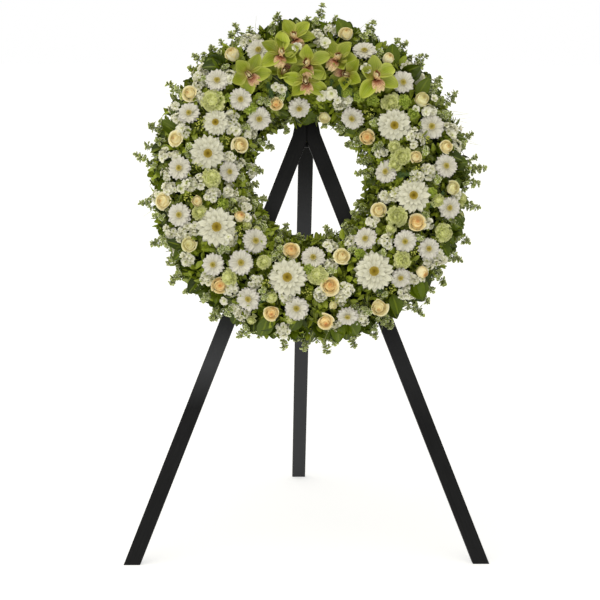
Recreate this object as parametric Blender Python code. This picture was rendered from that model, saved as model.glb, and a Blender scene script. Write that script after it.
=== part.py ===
"""A funeral wreath of cut flowers on a folding wooden easel.

The wreath is a ring of wet floral foam in a plastic tray, wrapped in sections of greenery, with
each flower head on its own stem pushed into the foam. It hangs by its inner edge on a steel hook
at the top of the easel and leans on the two front legs. The rear leg swings on a butt hinge.
Metres, +Z up, the viewer stands on the -Y side.
"""

import math
import random

import bmesh
import bpy
from mathutils import Vector

CLEAR = 0.0003  # gap kept between pieces that touch
OVERRUN = 0.002  # cutters run this far past the faces they cut

# Easel: two front legs that lean back, and a rear leg hinged behind their top
LEAN = math.radians(10)
FRONT_FACE_Y = -0.4371  # the front legs' front faces meet the floor here
FEET_SPACING = 0.905
MEETING_HEIGHT = 1.136  # where the centre lines of the front legs meet
LEG_WIDTH = 0.040
LEG_THICKNESS = 0.018
LEG_EDGE = 0.0012  # rounding of the long edges
LEG_TOP = 0.200  # flat top of the mitred legs, above the ring's centre
BLOCK_THICKNESS = 0.0177
BLOCK_BOTTOM, BLOCK_TOP = 0.094, 0.200
BLOCK_HALF_WIDTHS = (0.043, 0.022)  # at the bottom and at the top
REAR_SPREAD = math.radians(40.2)  # opened angle between the front frame and the rear leg

# Butt hinge
PIN_RADIUS = 0.0022
BORE_RADIUS = 0.0025
KNUCKLE_RADIUS = 0.0042
PIN_HEIGHT = 0.146  # above the ring's centre
HINGE_HALF_WIDTH = 0.018
MIDDLE_KNUCKLE = 0.006  # half the length of the rear leg's knuckle
PLATE_LENGTH = 0.045
PLATE_START = 0.005  # beside the other leaf's knuckles the plate begins this far below the pin
PIN_SIDES = 16

# Wreath hook: a strap bent under the ring
HOOK_HALF_WIDTH, HOOK_STEEL = 0.010, 0.0025
HOOK_BOTTOM, HOOK_SEAT, HOOK_LIP = 0.155, 0.2412, 0.257  # heights above the ring's centre
HOOK_REACH = 0.0655

# Screws
SCREW_RADIUS, SCREW_HOLE = 0.0018, 0.0022
SCREW_HEAD, SCREW_HEAD_HEIGHT = 0.0036, 0.0018
SCREW_SIDES = 10
LEAF_SCREW_X = 0.011

# Wreath
RING_HEIGHT = 0.976  # centre of the ring above the floor
RING_X = 0.005  # hung a little to the right
CORE_RADIUS = 0.2775  # mean radius of the foam ring
CORE_DEPTH = 0.032  # middle of the foam in front of the legs
TRAY_INNER, TRAY_OUTER, TRAY_DEPTH, TRAY_WALL = 0.2425, 0.3125, 0.026, 0.0025
FOAM_FRONT, FOAM_CHAMFER, FOAM_GAP = 0.058, 0.006, 0.0007
RING_STEPS = 48

# Greenery, measured from the foam's core: section angle 0 is in front, 90 outwards, -90 inwards
SECTIONS = 8
SECTION_STEPS = 16
SECTION_GAP = 0.001  # half the gap between sections, in radians
SECTION_ANGLES = (-92, -72, -50, -26, 0, 26, 50, 72, 92)
FACE_ANGLE = 60  # no leaf tips nearer the front than this
GREEN_FACE, GREEN_SIDE = 0.100, 0.130  # reach in front and sideways
GREEN_BACK_ANGLE, GREEN_BACK_REACH = 108, 0.089
CAVITY_GAP = 0.0007  # round the tray and foam, and round the hook
HOLLOW, SWELL = -0.012, 0.003  # how far leaf clumps sink below or swell above the mean surface
OUTER_TIP, INNER_TIP = 0.034, 0.009  # longest leaf tips round the rim and round the hole
TIP_SHARE = 0.45  # of the rim's points that are leaf tips

# Flowers
HEAD_RISE = 0.016  # heads stand this far out of the greenery
FACING = 0.6  # a flower faces this share of its section angle outwards
STEM_RADIUS, STEM_HOLE = 0.0024, 0.0032
STEM_END = 0.020  # stems stop this far in front of the foam's core
STEM_INTO_HEAD = 0.003  # the stem's neck begins this far below the head


# ---------------------------------------------------------------- building blocks


def finish(name, colour, roughness, metallic=0.0):
    """A Principled material."""
    made = bpy.data.materials.new(name)
    made.use_nodes = True
    shader = made.node_tree.nodes["Principled BSDF"]
    shader.inputs["Base Color"].default_value = (*colour, 1)
    shader.inputs["Roughness"].default_value = roughness
    shader.inputs["Metallic"].default_value = metallic
    return made


def place(name, mesh, parent, material=None):
    """Links a mesh as an object that hangs on an empty."""
    piece = bpy.data.objects.new(name, mesh)
    piece.parent = parent
    bpy.context.scene.collection.objects.link(piece)
    if material and not mesh.materials:
        mesh.materials.append(material)
    return piece


def add_empty(name, parent, location, turn_x=0.0):
    """An axis system that pieces hang on."""
    empty = bpy.data.objects.new(name, None)
    empty.parent = parent
    empty.location = location
    empty.rotation_euler = (turn_x, 0, 0)
    bpy.context.scene.collection.objects.link(empty)
    return empty


def to_mesh(shape, name, smooth_below=None):
    """Turns faces outwards and writes a bmesh to a mesh, smooth below the given edge angle."""
    bmesh.ops.recalc_face_normals(shape, faces=shape.faces)
    mesh = bpy.data.meshes.new(name)
    shape.to_mesh(mesh)
    shape.free()
    if smooth_below:
        mesh.shade_smooth()
        mesh.set_sharp_from_angle(angle=math.radians(smooth_below))
    return mesh


def loft(shape, rings, endless=False):
    """Skins rings of equally many points, with flat caps unless the rings close on themselves."""
    rows = [[shape.verts.new(point) for point in ring] for ring in rings]
    pairs = list(zip(rows, rows[1:]))
    if endless:
        pairs.append((rows[-1], rows[0]))
    else:
        shape.faces.new(rows[0])
        shape.faces.new(rows[-1])
    for low, high in pairs:
        for i in range(len(low)):
            j = (i + 1) % len(low)
            shape.faces.new((low[i], low[j], high[j], high[i]))
    return shape


def round_ring(centre, axis, side, radii):
    """Points around an axis, the first on the side given, at the radii given in turn."""
    across = axis.cross(side).normalized()
    side = across.cross(axis).normalized()
    count = len(radii)
    turns = [2 * math.pi * i / count for i in range(count)]
    return [
        centre + r * (math.cos(turn) * side + math.sin(turn) * across)
        for turn, r in zip(turns, radii)
    ]


def rod(shape, start, end, radius, sides):
    """A straight round bar between two points."""
    axis = (end - start).normalized()
    side = axis.orthogonal()
    return loft(shape, [round_ring(p, axis, side, [radius] * sides) for p in (start, end)])


def cut(piece, cutter):
    """Takes the cutter's shape out of a piece."""
    boolean = piece.modifiers.new("cut_" + cutter.name, "BOOLEAN")
    boolean.operation = "DIFFERENCE"
    boolean.object = cutter


def add_cutter(name, shape, parent):
    cutter = place(name, to_mesh(shape, name), parent)
    cutter.hide_render = True
    cutter.display_type = "WIRE"
    return cutter


def round_edges(piece, width):
    bevel = piece.modifiers.new("edges", "BEVEL")
    bevel.width = width
    bevel.segments = 1
    bevel.limit_method = "ANGLE"


# ---------------------------------------------------------------- screws


def screw_mesh(length):
    """A pan-head screw along -Z, its head's underside at Z = 0."""
    stations = [
        (-length, 0.7 * SCREW_RADIUS),
        (0, SCREW_RADIUS),
        (0, SCREW_HEAD),
        (0.6 * SCREW_HEAD_HEIGHT, 0.95 * SCREW_HEAD),
        (SCREW_HEAD_HEIGHT, 0.55 * SCREW_HEAD),
    ]
    up, side = Vector((0, 0, 1)), Vector((1, 0, 0))
    rings = [round_ring(Vector((0, 0, z)), up, side, [r] * SCREW_SIDES) for z, r in stations]
    return to_mesh(loft(bmesh.new(), rings), "screw", 40)


def add_screws(name, length, spots, surface_y, outwards, pieces, parent):
    """Screws along the parent's Y, heads on the surface at surface_y, facing outwards (1 or -1)."""
    mesh = screw_mesh(length)
    for index, (x, z) in enumerate(spots):
        fixing = place(f"{name}_{index + 1}", mesh, parent, STEEL)
        fixing.location = (x, surface_y + outwards * CLEAR, z)
        fixing.rotation_euler = (-outwards * math.pi / 2, 0, 0)
        start = Vector((x, surface_y + outwards * OVERRUN, z))
        end = Vector((x, surface_y - outwards * (length + OVERRUN / 2), z))
        bore = rod(bmesh.new(), start, end, SCREW_HOLE, SCREW_SIDES)
        hole = add_cutter(f"{name}_hole_{index + 1}", bore, parent)
        for piece in pieces(x):
            cut(piece, hole)


# ---------------------------------------------------------------- easel

LEG_ANGLE = math.atan(FEET_SPACING / 2 / (MEETING_HEIGHT / math.cos(LEAN)))
MEETING = (MEETING_HEIGHT - RING_HEIGHT) / math.cos(LEAN)  # the same point above the ring's centre


def floor_below(y):
    """How far below the ring's centre the floor is, along the leaning frame, at depth y."""
    return -(RING_HEIGHT - y * math.sin(LEAN)) / math.cos(LEAN)


def leg_outline(side, y):
    """A front leg's outline at depth y: mitred against the other leg, cut level at the floor."""
    half = LEG_WIDTH / 2 / math.cos(LEG_ANGLE)
    slope = math.tan(LEG_ANGLE)
    floor = floor_below(y)
    mitre = CLEAR / 2
    corners = [
        (mitre, LEG_TOP),
        ((MEETING - LEG_TOP) * slope + half, LEG_TOP),
        ((MEETING - floor) * slope + half, floor),
        ((MEETING - floor) * slope - half, floor),
        (mitre, MEETING - (half + mitre) / slope),
    ]
    return [Vector((side * x, y, z)) for x, z in corners]


def add_front_leg(name, side, parent):
    shape = loft(bmesh.new(), [leg_outline(side, 0), leg_outline(side, LEG_THICKNESS)])
    leg = place(name, to_mesh(shape, name), parent, WOOD)
    round_edges(leg, LEG_EDGE)
    return leg


def add_head_block(parent):
    """The block that ties the two legs together behind their mitre."""
    front = LEG_THICKNESS + CLEAR
    low, high = BLOCK_HALF_WIDTHS
    corners = [(-low, BLOCK_BOTTOM), (low, BLOCK_BOTTOM), (high, BLOCK_TOP), (-high, BLOCK_TOP)]
    rings = [[Vector((x, y, z)) for x, z in corners] for y in (front, front + BLOCK_THICKNESS)]
    block = place("head_block", to_mesh(loft(bmesh.new(), rings), "head_block"), parent, WOOD)
    round_edges(block, LEG_EDGE)
    return block


BLOCK_BACK = LEG_THICKNESS + CLEAR + BLOCK_THICKNESS
PIN_DEPTH = BLOCK_BACK + CLEAR + KNUCKLE_RADIUS
LEG_OFFSET = KNUCKLE_RADIUS + CLEAR  # from the pin's axis to the rear leg's front face
RISE = REAR_SPREAD - LEAN  # the opened rear leg's angle from the vertical


def pivot_height():
    return RING_HEIGHT + PIN_HEIGHT * math.cos(LEAN) - PIN_DEPTH * math.sin(LEAN)


def add_rear_leg(parent):
    """The rear leg, whose bevelled top end stops against the head block when it is open."""

    def top(y):
        return (y * math.cos(REAR_SPREAD) + PIN_DEPTH - BLOCK_BACK - CLEAR) / math.sin(REAR_SPREAD)

    def bottom(y):
        return -(pivot_height() + y * math.sin(RISE)) / math.cos(RISE)

    front, back = LEG_OFFSET, LEG_OFFSET + LEG_THICKNESS
    side_view = [(front, bottom(front)), (back, bottom(back)), (back, top(back)), (front, top(front))]
    rings = [[Vector((x, y, z)) for y, z in side_view] for x in (-LEG_WIDTH / 2, LEG_WIDTH / 2)]
    leg = place("rear_leg", to_mesh(loft(bmesh.new(), rings), "rear_leg"), parent, WOOD)
    round_edges(leg, LEG_EDGE)
    return leg


def box_shape(shape, low, high):
    corners = [(low[0], low[1]), (high[0], low[1]), (high[0], high[1]), (low[0], high[1])]
    return loft(shape, [[Vector((x, y, z)) for x, y in corners] for z in (low[2], high[2])])


def pin_rod(low, high, radius):
    """A round bar along the pin's axis."""
    return rod(bmesh.new(), Vector((low, 0, 0)), Vector((high, 0, 0)), radius, PIN_SIDES)


def add_hinge_leaf(name, knuckles, notches, side, parent):
    """A plate below the pin, notched beside it, with rolled knuckles over the given spans of X."""
    near, far = sorted((side * PIN_RADIUS, side * KNUCKLE_RADIUS))
    low, high = (-HINGE_HALF_WIDTH, near, -PLATE_LENGTH), (HINGE_HALF_WIDTH, far, 0)
    leaf = place(name, to_mesh(box_shape(bmesh.new(), low, high), name, 40), parent, STEEL)
    room = bmesh.new()
    deep = KNUCKLE_RADIUS + OVERRUN
    for start, end in notches:
        box_shape(room, (start, -deep, -PLATE_START), (end, deep, OVERRUN))
    cut(leaf, add_cutter(name + "_notch", room, parent))
    for index, (start, end) in enumerate(knuckles):
        tube = pin_rod(start, end, KNUCKLE_RADIUS)
        union = leaf.modifiers.new(f"roll_{index + 1}", "BOOLEAN")
        union.operation = "UNION"
        union.object = add_cutter(f"{name}_roll_{index + 1}", tube, parent)
    reach = HINGE_HALF_WIDTH + OVERRUN
    cut(leaf, add_cutter(name + "_bore", pin_rod(-reach, reach, BORE_RADIUS), parent))
    return leaf


def add_hinge(pin_axis, leg_axis):
    """Two leaves on a pin: the block's has the outer knuckles, the leg's has the middle one."""
    middle, outer, past = MIDDLE_KNUCKLE, HINGE_HALF_WIDTH, HINGE_HALF_WIDTH + OVERRUN
    outer_knuckles = [(-outer, -middle - CLEAR), (middle + CLEAR, outer)]
    middle_notch = [(-middle - 2 * CLEAR, middle + 2 * CLEAR)]
    outer_notches = [(-past, -middle), (middle, past)]
    block_leaf = add_hinge_leaf("hinge_leaf_block", outer_knuckles, middle_notch, -1, pin_axis)
    leg_leaf = add_hinge_leaf("hinge_leaf_leg", [(-middle, middle)], outer_notches, 1, leg_axis)
    pin = to_mesh(pin_rod(-outer, outer, PIN_RADIUS), "hinge_pin", 40)
    place("hinge_pin", pin, pin_axis, STEEL)
    return block_leaf, leg_leaf


def add_wreath_hook(parent):
    """A bent strap: a plate on the legs' mitre, a tongue under the ring and a lip in front."""
    t = HOOK_STEEL
    side_view = [
        (-CLEAR, HOOK_BOTTOM),
        (-CLEAR, HOOK_SEAT),
        (-HOOK_REACH + t, HOOK_SEAT),
        (-HOOK_REACH + t, HOOK_LIP),
        (-HOOK_REACH, HOOK_LIP),
        (-HOOK_REACH, HOOK_SEAT - t),
        (-CLEAR - t, HOOK_SEAT - t),
        (-CLEAR - t, HOOK_BOTTOM),
    ]
    rings = [[Vector((x, y, z)) for y, z in side_view] for x in (-HOOK_HALF_WIDTH, HOOK_HALF_WIDTH)]
    return place("wreath_hook", to_mesh(loft(bmesh.new(), rings), "wreath_hook"), parent, STEEL)


def hook_slot(parent):
    """Room for the hook's tongue and lip in the greenery."""
    room = CAVITY_GAP
    low = (-HOOK_HALF_WIDTH - room, -HOOK_REACH - room, HOOK_SEAT - HOOK_STEEL - room)
    high = (HOOK_HALF_WIDTH + room, 2 * OVERRUN, HOOK_LIP + room)
    return add_cutter("hook_slot", box_shape(bmesh.new(), low, high), parent)


def add_easel(frame_axis, pin_axis, leg_axis):
    left = add_front_leg("front_leg_left", -1, frame_axis)
    right = add_front_leg("front_leg_right", 1, frame_axis)
    block = add_head_block(frame_axis)
    rear = add_rear_leg(leg_axis)
    block_leaf, leg_leaf = add_hinge(pin_axis, leg_axis)
    hook = add_wreath_hook(frame_axis)

    def leg_at(x):
        return left if x < 0 else right

    spots = [(side * x, z) for x, z in ((0.032, 0.105), (0.0255, 0.135)) for side in (-1, 1)]
    add_screws("block_screw", 0.030, spots, BLOCK_BACK, 1, lambda x: (block, leg_at(x)), frame_axis)
    spots = [(side * LEAF_SCREW_X, -0.033) for side in (-1, 1)]
    pieces = (block_leaf, block)
    add_screws("block_leaf_screw", 0.013, spots, -PIN_RADIUS, 1, lambda x: pieces, pin_axis)
    spots = [(side * LEAF_SCREW_X, -0.022) for side in (-1, 1)]
    add_screws("leg_leaf_screw", 0.013, spots, PIN_RADIUS, -1, lambda x: (leg_leaf, rear), leg_axis)
    spots = [(-0.0055, 0.167), (0.0055, 0.190)]
    plate = -CLEAR - HOOK_STEEL
    add_screws("hook_screw", 0.016, spots, plate, -1, lambda x: (hook, leg_at(x)), frame_axis)


# ---------------------------------------------------------------- wreath ring


def ring_point(bearing, radius, depth):
    """A point at a clock bearing from the top, a radius and a depth in front of the legs."""
    return Vector((radius * math.sin(bearing), -depth, radius * math.cos(bearing)))


def turned_ring(profile, steps):
    """Turns a closed outline of (radius, depth) all the way round."""
    bearings = [2 * math.pi * i / steps for i in range(steps)]
    rings = [[ring_point(b, r, n) for r, n in profile] for b in bearings]
    return loft(bmesh.new(), rings, endless=True)


def add_tray(parent):
    """The moulded tray: a floor and two low walls."""
    inner, outer, wall = TRAY_INNER, TRAY_OUTER, TRAY_WALL
    profile = [
        (inner, CLEAR),
        (outer, CLEAR),
        (outer, TRAY_DEPTH),
        (outer - wall, TRAY_DEPTH),
        (outer - wall, CLEAR + wall),
        (inner + wall, CLEAR + wall),
        (inner + wall, TRAY_DEPTH),
        (inner, TRAY_DEPTH),
    ]
    place("ring_tray", to_mesh(turned_ring(profile, RING_STEPS), "ring_tray", 40), parent, TRAY_PLASTIC)


def add_foam(parent, stem_holes):
    """The foam ring, chamfered along its front edges and bored by the stems."""
    inner, outer = TRAY_INNER + TRAY_WALL + FOAM_GAP, TRAY_OUTER - TRAY_WALL - FOAM_GAP
    back = TRAY_WALL + 2 * CLEAR
    profile = [
        (inner, back),
        (outer, back),
        (outer, FOAM_FRONT - FOAM_CHAMFER),
        (outer - FOAM_CHAMFER, FOAM_FRONT),
        (inner + FOAM_CHAMFER, FOAM_FRONT),
        (inner, FOAM_FRONT - FOAM_CHAMFER),
    ]
    foam = place("foam_ring", to_mesh(turned_ring(profile, RING_STEPS), "foam_ring", 30), parent, FOAM)
    cut(foam, stem_holes)


# ---------------------------------------------------------------- greenery


def green_reach(angle):
    """The greenery's reach from the foam's core at a section angle."""
    return GREEN_FACE + (GREEN_SIDE - GREEN_FACE) * math.sin(math.radians(angle)) ** 2


def section_point(bearing, angle, reach):
    angle = math.radians(angle)
    return ring_point(bearing, CORE_RADIUS + reach * math.sin(angle), CORE_DEPTH + reach * math.cos(angle))


def clump_reach(angle, draw, edge):
    """The surface at one spot: a clump in front, a leaf tip or a gap at the rims."""
    reach = green_reach(angle)
    if edge or abs(angle) < FACE_ANGLE:
        return reach + draw.uniform(HOLLOW, SWELL)
    if draw.random() < TIP_SHARE:
        longest = OUTER_TIP if angle > 0 else INNER_TIP
        return reach + longest * draw.uniform(0.5, 1.0)
    return reach + draw.uniform(HOLLOW, 0)


def green_outline(bearing, draw, edge):
    """One cross-section of the greenery: lumpy outside, square where it holds tray and foam."""
    outline = [section_point(bearing, -GREEN_BACK_ANGLE, GREEN_BACK_REACH)]
    outline += [section_point(bearing, angle, clump_reach(angle, draw, edge)) for angle in SECTION_ANGLES]
    outline.append(section_point(bearing, GREEN_BACK_ANGLE, GREEN_BACK_REACH))
    back = CORE_DEPTH + GREEN_BACK_REACH * math.cos(math.radians(GREEN_BACK_ANGLE))
    for radius, depth in (
        (TRAY_OUTER + CAVITY_GAP, back),
        (TRAY_OUTER + CAVITY_GAP, FOAM_FRONT + CAVITY_GAP),
        (TRAY_INNER - CAVITY_GAP, FOAM_FRONT + CAVITY_GAP),
        (TRAY_INNER - CAVITY_GAP, back),
    ):
        outline.append(ring_point(bearing, radius, depth))
    return outline


def add_greenery(parent, cutters):
    """The greenery, in equal sections with a hair's gap between them."""
    draw = random.Random(11)
    width = 2 * math.pi / SECTIONS
    for section in range(SECTIONS):
        start = section * width + SECTION_GAP
        rings = []
        for step in range(SECTION_STEPS + 1):
            bearing = start + step / SECTION_STEPS * (width - 2 * SECTION_GAP)
            rings.append(green_outline(bearing, draw, step in (0, SECTION_STEPS)))
        name = f"greenery_section_{section + 1}"
        piece = place(name, to_mesh(loft(bmesh.new(), rings), name), parent, LEAF)
        for cutter in cutters:
            cut(piece, cutter)


# ---------------------------------------------------------------- flowers
# Each flower is (clock bearing from the top, section angle, radius in millimetres).

GERBERAS = (
    (58, -14, 42), (100, -7, 43), (146, 4, 49), (193, -9, 48), (242, -5, 49), (283, -6, 44), (300, -1, 34),
)
ORCHIDS = ((330, 8, 38), (346, 17, 38), (353, 45, 30), (359, -6, 38), (13, 12, 38), (33, 10, 40))
MINI_GERBERAS = (
    (23, 36, 28), (67, 29, 30), (121, 34, 26), (124, 5, 27), (186, 28, 29), (219, 0, 30), (254, 33, 28),
    (274, 28, 28), (316, 30, 28), (35, -46, 28), (85, -44, 28), (138, -34, 27), (221, -33, 30),
)
ROSES = ((55, 34, 22), (113, 7, 23), (170, 0, 24), (220, 39, 23), (286, 38, 21))


def flower_seat(bearing, angle):
    """The stem's foot, the head's centre, the ways the head and the stem point, and sideways."""
    bearing = math.radians(bearing)
    core = section_point(bearing, 0, 0)
    head = section_point(bearing, angle, green_reach(angle) + HEAD_RISE)
    facing = section_point(bearing, angle * FACING, 1) - core
    stem = (head - core).normalized()
    sideways = Vector((math.cos(bearing), 0, -math.sin(bearing)))
    return core + stem * STEM_END, head, facing.normalized(), stem, sideways


def bore_stem(shape, bearing, angle):
    """Adds the hole for one stem to the cutter."""
    foot, head, _, stem, sideways = flower_seat(bearing, angle)
    ends = (foot - stem * OVERRUN / 2, head - stem * OVERRUN)
    loft(shape, [round_ring(p, stem, sideways, [STEM_HOLE] * 6) for p in ends])


def add_flower(name, bearing, angle, stations, sides, material, parent):
    """A head lofted through (height, radii) stations, on its stem."""
    foot, head, facing, stem, sideways = flower_seat(bearing, angle)
    neck = head + stem * (stations[0][0] - STEM_INTO_HEAD)
    rings = [round_ring(p, stem, sideways, [STEM_RADIUS] * sides) for p in (foot, neck)]
    for height, radii in stations:
        wheel = [radii[i % len(radii)] for i in range(sides)]
        rings.append(round_ring(head + facing * height, facing, sideways, wheel))
    place(name, to_mesh(loft(bmesh.new(), rings), name, 35), parent, material)


def gerbera_head(radius):
    """A daisy: calyx, notched plate of petals, dished middle, raised disc."""
    under, tip, notch = 0.22 * radius, radius, 0.87 * radius
    return [
        (-0.009, [under]),
        (-0.002, [tip, notch]),
        (0.0015, [0.985 * tip, 0.985 * notch]),
        (0.0005, [0.40 * radius]),
        (0.0040, [0.24 * radius]),
    ]


def orchid_head(radius):
    """Five spread petals round a raised lip."""
    return [
        (-0.008, [0.16 * radius]),
        (-0.003, [radius, 0.42 * radius]),
        (0.0010, [0.97 * radius, 0.40 * radius]),
        (0.0015, [0.26 * radius]),
        (0.0130, [0.17 * radius]),
    ]


def rose_head(radius):
    """A half-open rose: a cup with rolled rim and sunk heart."""
    return [
        (-0.010, [0.45 * radius]),
        (-0.004, [0.92 * radius]),
        (0.0060, [radius]),
        (0.0120, [0.80 * radius]),
        (0.0090, [0.45 * radius]),
    ]


def all_flowers():
    """Every flower as (name, list of places, head, sides, material)."""
    return (
        ("gerbera", GERBERAS, gerbera_head, 16, WHITE_PETAL),
        ("orchid", ORCHIDS, orchid_head, 10, GREEN_PETAL),
        ("mini_gerbera", MINI_GERBERAS, gerbera_head, 12, WHITE_PETAL),
        ("rose", ROSES, rose_head, 10, CREAM_PETAL),
    )


def add_wreath(wreath_axis, frame_axis):
    holes = bmesh.new()
    for name, places, head, sides, material in all_flowers():
        for index, (bearing, angle, radius) in enumerate(places):
            bore_stem(holes, bearing, angle)
            label = f"{name}_{index + 1}"
            add_flower(label, bearing, angle, head(radius / 1000), sides, material, wreath_axis)
    stem_holes = add_cutter("stem_holes", holes, wreath_axis)
    add_tray(wreath_axis)
    add_foam(wreath_axis, stem_holes)
    add_greenery(wreath_axis, (stem_holes, hook_slot(frame_axis)))


# ---------------------------------------------------------------- assembly

for leftover in list(bpy.data.objects):
    bpy.data.objects.remove(leftover)

WOOD = finish("black_painted_wood", (0.020, 0.020, 0.019), 0.45)
STEEL = finish("zinc_plated_steel", (0.55, 0.55, 0.54), 0.35, 0.9)
TRAY_PLASTIC = finish("green_plastic", (0.03, 0.09, 0.03), 0.5)
FOAM = finish("wet_floral_foam", (0.06, 0.16, 0.05), 0.95)
LEAF = finish("mixed_greenery", (0.07, 0.12, 0.02), 0.6)
WHITE_PETAL = finish("white_petals", (0.78, 0.78, 0.70), 0.55)
GREEN_PETAL = finish("orchid_petals", (0.42, 0.50, 0.12), 0.5)
CREAM_PETAL = finish("rose_petals", (0.80, 0.66, 0.38), 0.55)

frame_y = FRONT_FACE_Y + RING_HEIGHT * math.tan(LEAN)
leaning_frame = add_empty("leaning_frame", None, (0, frame_y, RING_HEIGHT), -LEAN)
hinge_axis = add_empty("hinge_axis", leaning_frame, (0, PIN_DEPTH, PIN_HEIGHT))
rear_leg_axis = add_empty("rear_leg_axis", leaning_frame, (0, PIN_DEPTH, PIN_HEIGHT), REAR_SPREAD)
wreath_axis = add_empty("wreath_axis", leaning_frame, (RING_X, 0, 0))
add_easel(leaning_frame, hinge_axis, rear_leg_axis)
add_wreath(wreath_axis, leaning_frame)
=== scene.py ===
"""Funeral wreath on a folding easel: paint, fittings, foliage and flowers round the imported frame.

The sections below follow the florist's order: the easel, the ring that hangs on it, its bed of
leaves, the flowers from the largest down, and the sprigs and leaves that are tucked in last.
Metres, +Z up, the viewer stands at -Y.
"""

import math

import bpy
import numpy as np
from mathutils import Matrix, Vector


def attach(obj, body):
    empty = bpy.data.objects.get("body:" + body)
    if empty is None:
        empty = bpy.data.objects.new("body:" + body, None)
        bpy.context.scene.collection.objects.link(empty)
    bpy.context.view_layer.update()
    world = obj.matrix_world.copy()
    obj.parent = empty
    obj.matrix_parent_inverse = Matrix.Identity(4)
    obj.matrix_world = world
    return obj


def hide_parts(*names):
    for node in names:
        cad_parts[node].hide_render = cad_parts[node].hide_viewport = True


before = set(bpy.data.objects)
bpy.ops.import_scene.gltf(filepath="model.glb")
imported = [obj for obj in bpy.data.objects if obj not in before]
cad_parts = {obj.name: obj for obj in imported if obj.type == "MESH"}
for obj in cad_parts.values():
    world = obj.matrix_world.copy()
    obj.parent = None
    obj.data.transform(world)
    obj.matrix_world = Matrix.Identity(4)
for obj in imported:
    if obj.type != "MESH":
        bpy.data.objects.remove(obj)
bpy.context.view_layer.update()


# ---------------------------------------------------------------- painted battens
# Planed softwood battens, brushed with black eggshell paint that lets the grain show through as
# fine ridges along the wood. Mitred and screwed to a block behind, the rear one on a hinge.


def shade(red, green, blue):
    """A colour given as 0 to 255 as the eye sees it, in the linear values that shaders take."""
    linear = [((c / 255 + 0.055) / 1.055) ** 2.4 if c > 10 else c / 3294 for c in (red, green, blue)]
    return (*linear, 1)


class Finish:
    """A material whose Principled shader is fed by a chain of procedural nodes."""

    def __init__(self, name, roughness, specular=0.5, metallic=0.0):
        self.material = bpy.data.materials.new(name)
        self.material.use_nodes = True
        self.tree = self.material.node_tree
        self.shader = self.tree.nodes["Principled BSDF"]
        self.shader.inputs["Roughness"].default_value = roughness
        self.shader.inputs["Specular IOR Level"].default_value = specular
        self.shader.inputs["Metallic"].default_value = metallic

    def add(self, kind, values=(), **settings):
        """A node with its settings, and input sockets by number or name set to values or links."""
        made = self.tree.nodes.new("ShaderNode" + kind)
        for key, value in settings.items():
            setattr(made, key, value)
        for key, value in dict(values).items():
            if isinstance(value, bpy.types.NodeSocket):
                self.tree.links.new(value, made.inputs[key])
            else:
                made.inputs[key].default_value = value
        return made

    def feed(self, socket, value):
        self.tree.links.new(value, self.shader.inputs[socket])

    def surface(self):
        """Places in the piece's own space, in metres."""
        return self.add("TexCoord").outputs["Object"]

    def growth(self):
        """The marks that each grid carries: across (-1 to 1), along (0 to 1) and chance."""
        marks = self.add("Attribute", attribute_name="growth").outputs["Vector"]
        return self.add("SeparateXYZ", {0: marks}).outputs

    def noise(self, place, scale, detail=3.0, roughness=0.5):
        values = {"Vector": place, "Scale": scale, "Detail": detail, "Roughness": roughness}
        return self.add("TexNoise", values).outputs["Fac"]

    def ramp(self, factor, stops):
        """Colours or grey levels at stops from 0 to 1 along a factor."""
        made = self.add("ValToRGB", {"Fac": factor})
        band = made.color_ramp
        while len(band.elements) < len(stops):
            band.elements.new(0.5)
        for element, (place, colour) in zip(band.elements, stops):
            element.position = place
            element.color = colour if isinstance(colour, tuple) else (colour, colour, colour, 1)
        return made.outputs["Color"]

    def mix(self, factor, first, second, blend="MIX"):
        made = self.add("Mix", {0: factor, 6: first, 7: second}, data_type="RGBA", blend_type=blend)
        return made.outputs[2]

    def math(self, operation, first, second=0.0):
        return self.add("Math", {0: first, 1: second}, operation=operation).outputs[0]

    def bump(self, height, strength, distance):
        values = {"Height": height, "Strength": strength, "Distance": distance}
        self.feed("Normal", self.add("Bump", values).outputs["Normal"])


def painted_wood(name, grain, sheen_by_height):
    """Black paint over grain that runs along the direction given.

    The last argument holds heights in metres, each with a share of painted sheen: the paint is mixed
    towards grey there in place of soft light reflected off it.
    """
    paint = Finish(name, 0.42, specular=0.20)
    place = paint.surface()
    turn = Vector(grain).rotation_difference(Vector((0, 0, 1))).to_euler()
    along = paint.add("Mapping", {"Vector": place, "Rotation": turn}).outputs["Vector"]
    stretched = paint.add("Mapping", {"Vector": along, "Scale": (1, 1, 0.035)}).outputs["Vector"]
    ridges = paint.noise(stretched, 420, 4, 0.6)
    broad = paint.noise(along, 9, 2)
    colour = paint.ramp(ridges, [(0.30, shade(6, 6, 6)), (0.62, shade(16, 16, 17))])
    worn = paint.ramp(broad, [(0.35, 0.75), (0.70, 1.35)])
    colour = paint.mix(1.0, colour, worn, "MULTIPLY")
    height = paint.add("SeparateXYZ", {0: place}).outputs[2]
    # Painted sheen: grey mixed into the paint by height, standing in for light reflected off the leg
    paint.feed("Base Color", paint.mix(paint.ramp(height, sheen_by_height), colour, shade(66, 67, 70)))
    paint.feed("Roughness", paint.ramp(ridges, [(0.2, 0.34), (0.8, 0.50)]))
    paint.bump(ridges, 0.35, 0.0006)
    return paint.material


def dress(material, *nodes):
    """Gives CAD nodes a finish in place of their plain one."""
    for node in nodes:
        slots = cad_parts[node].material_slots
        for slot in slots:
            slot.material = material


def node_points(node):
    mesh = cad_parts[node].data
    points = np.empty(len(mesh.vertices) * 3)
    mesh.vertices.foreach_get("co", points)
    return points.reshape(-1, 3)
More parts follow.
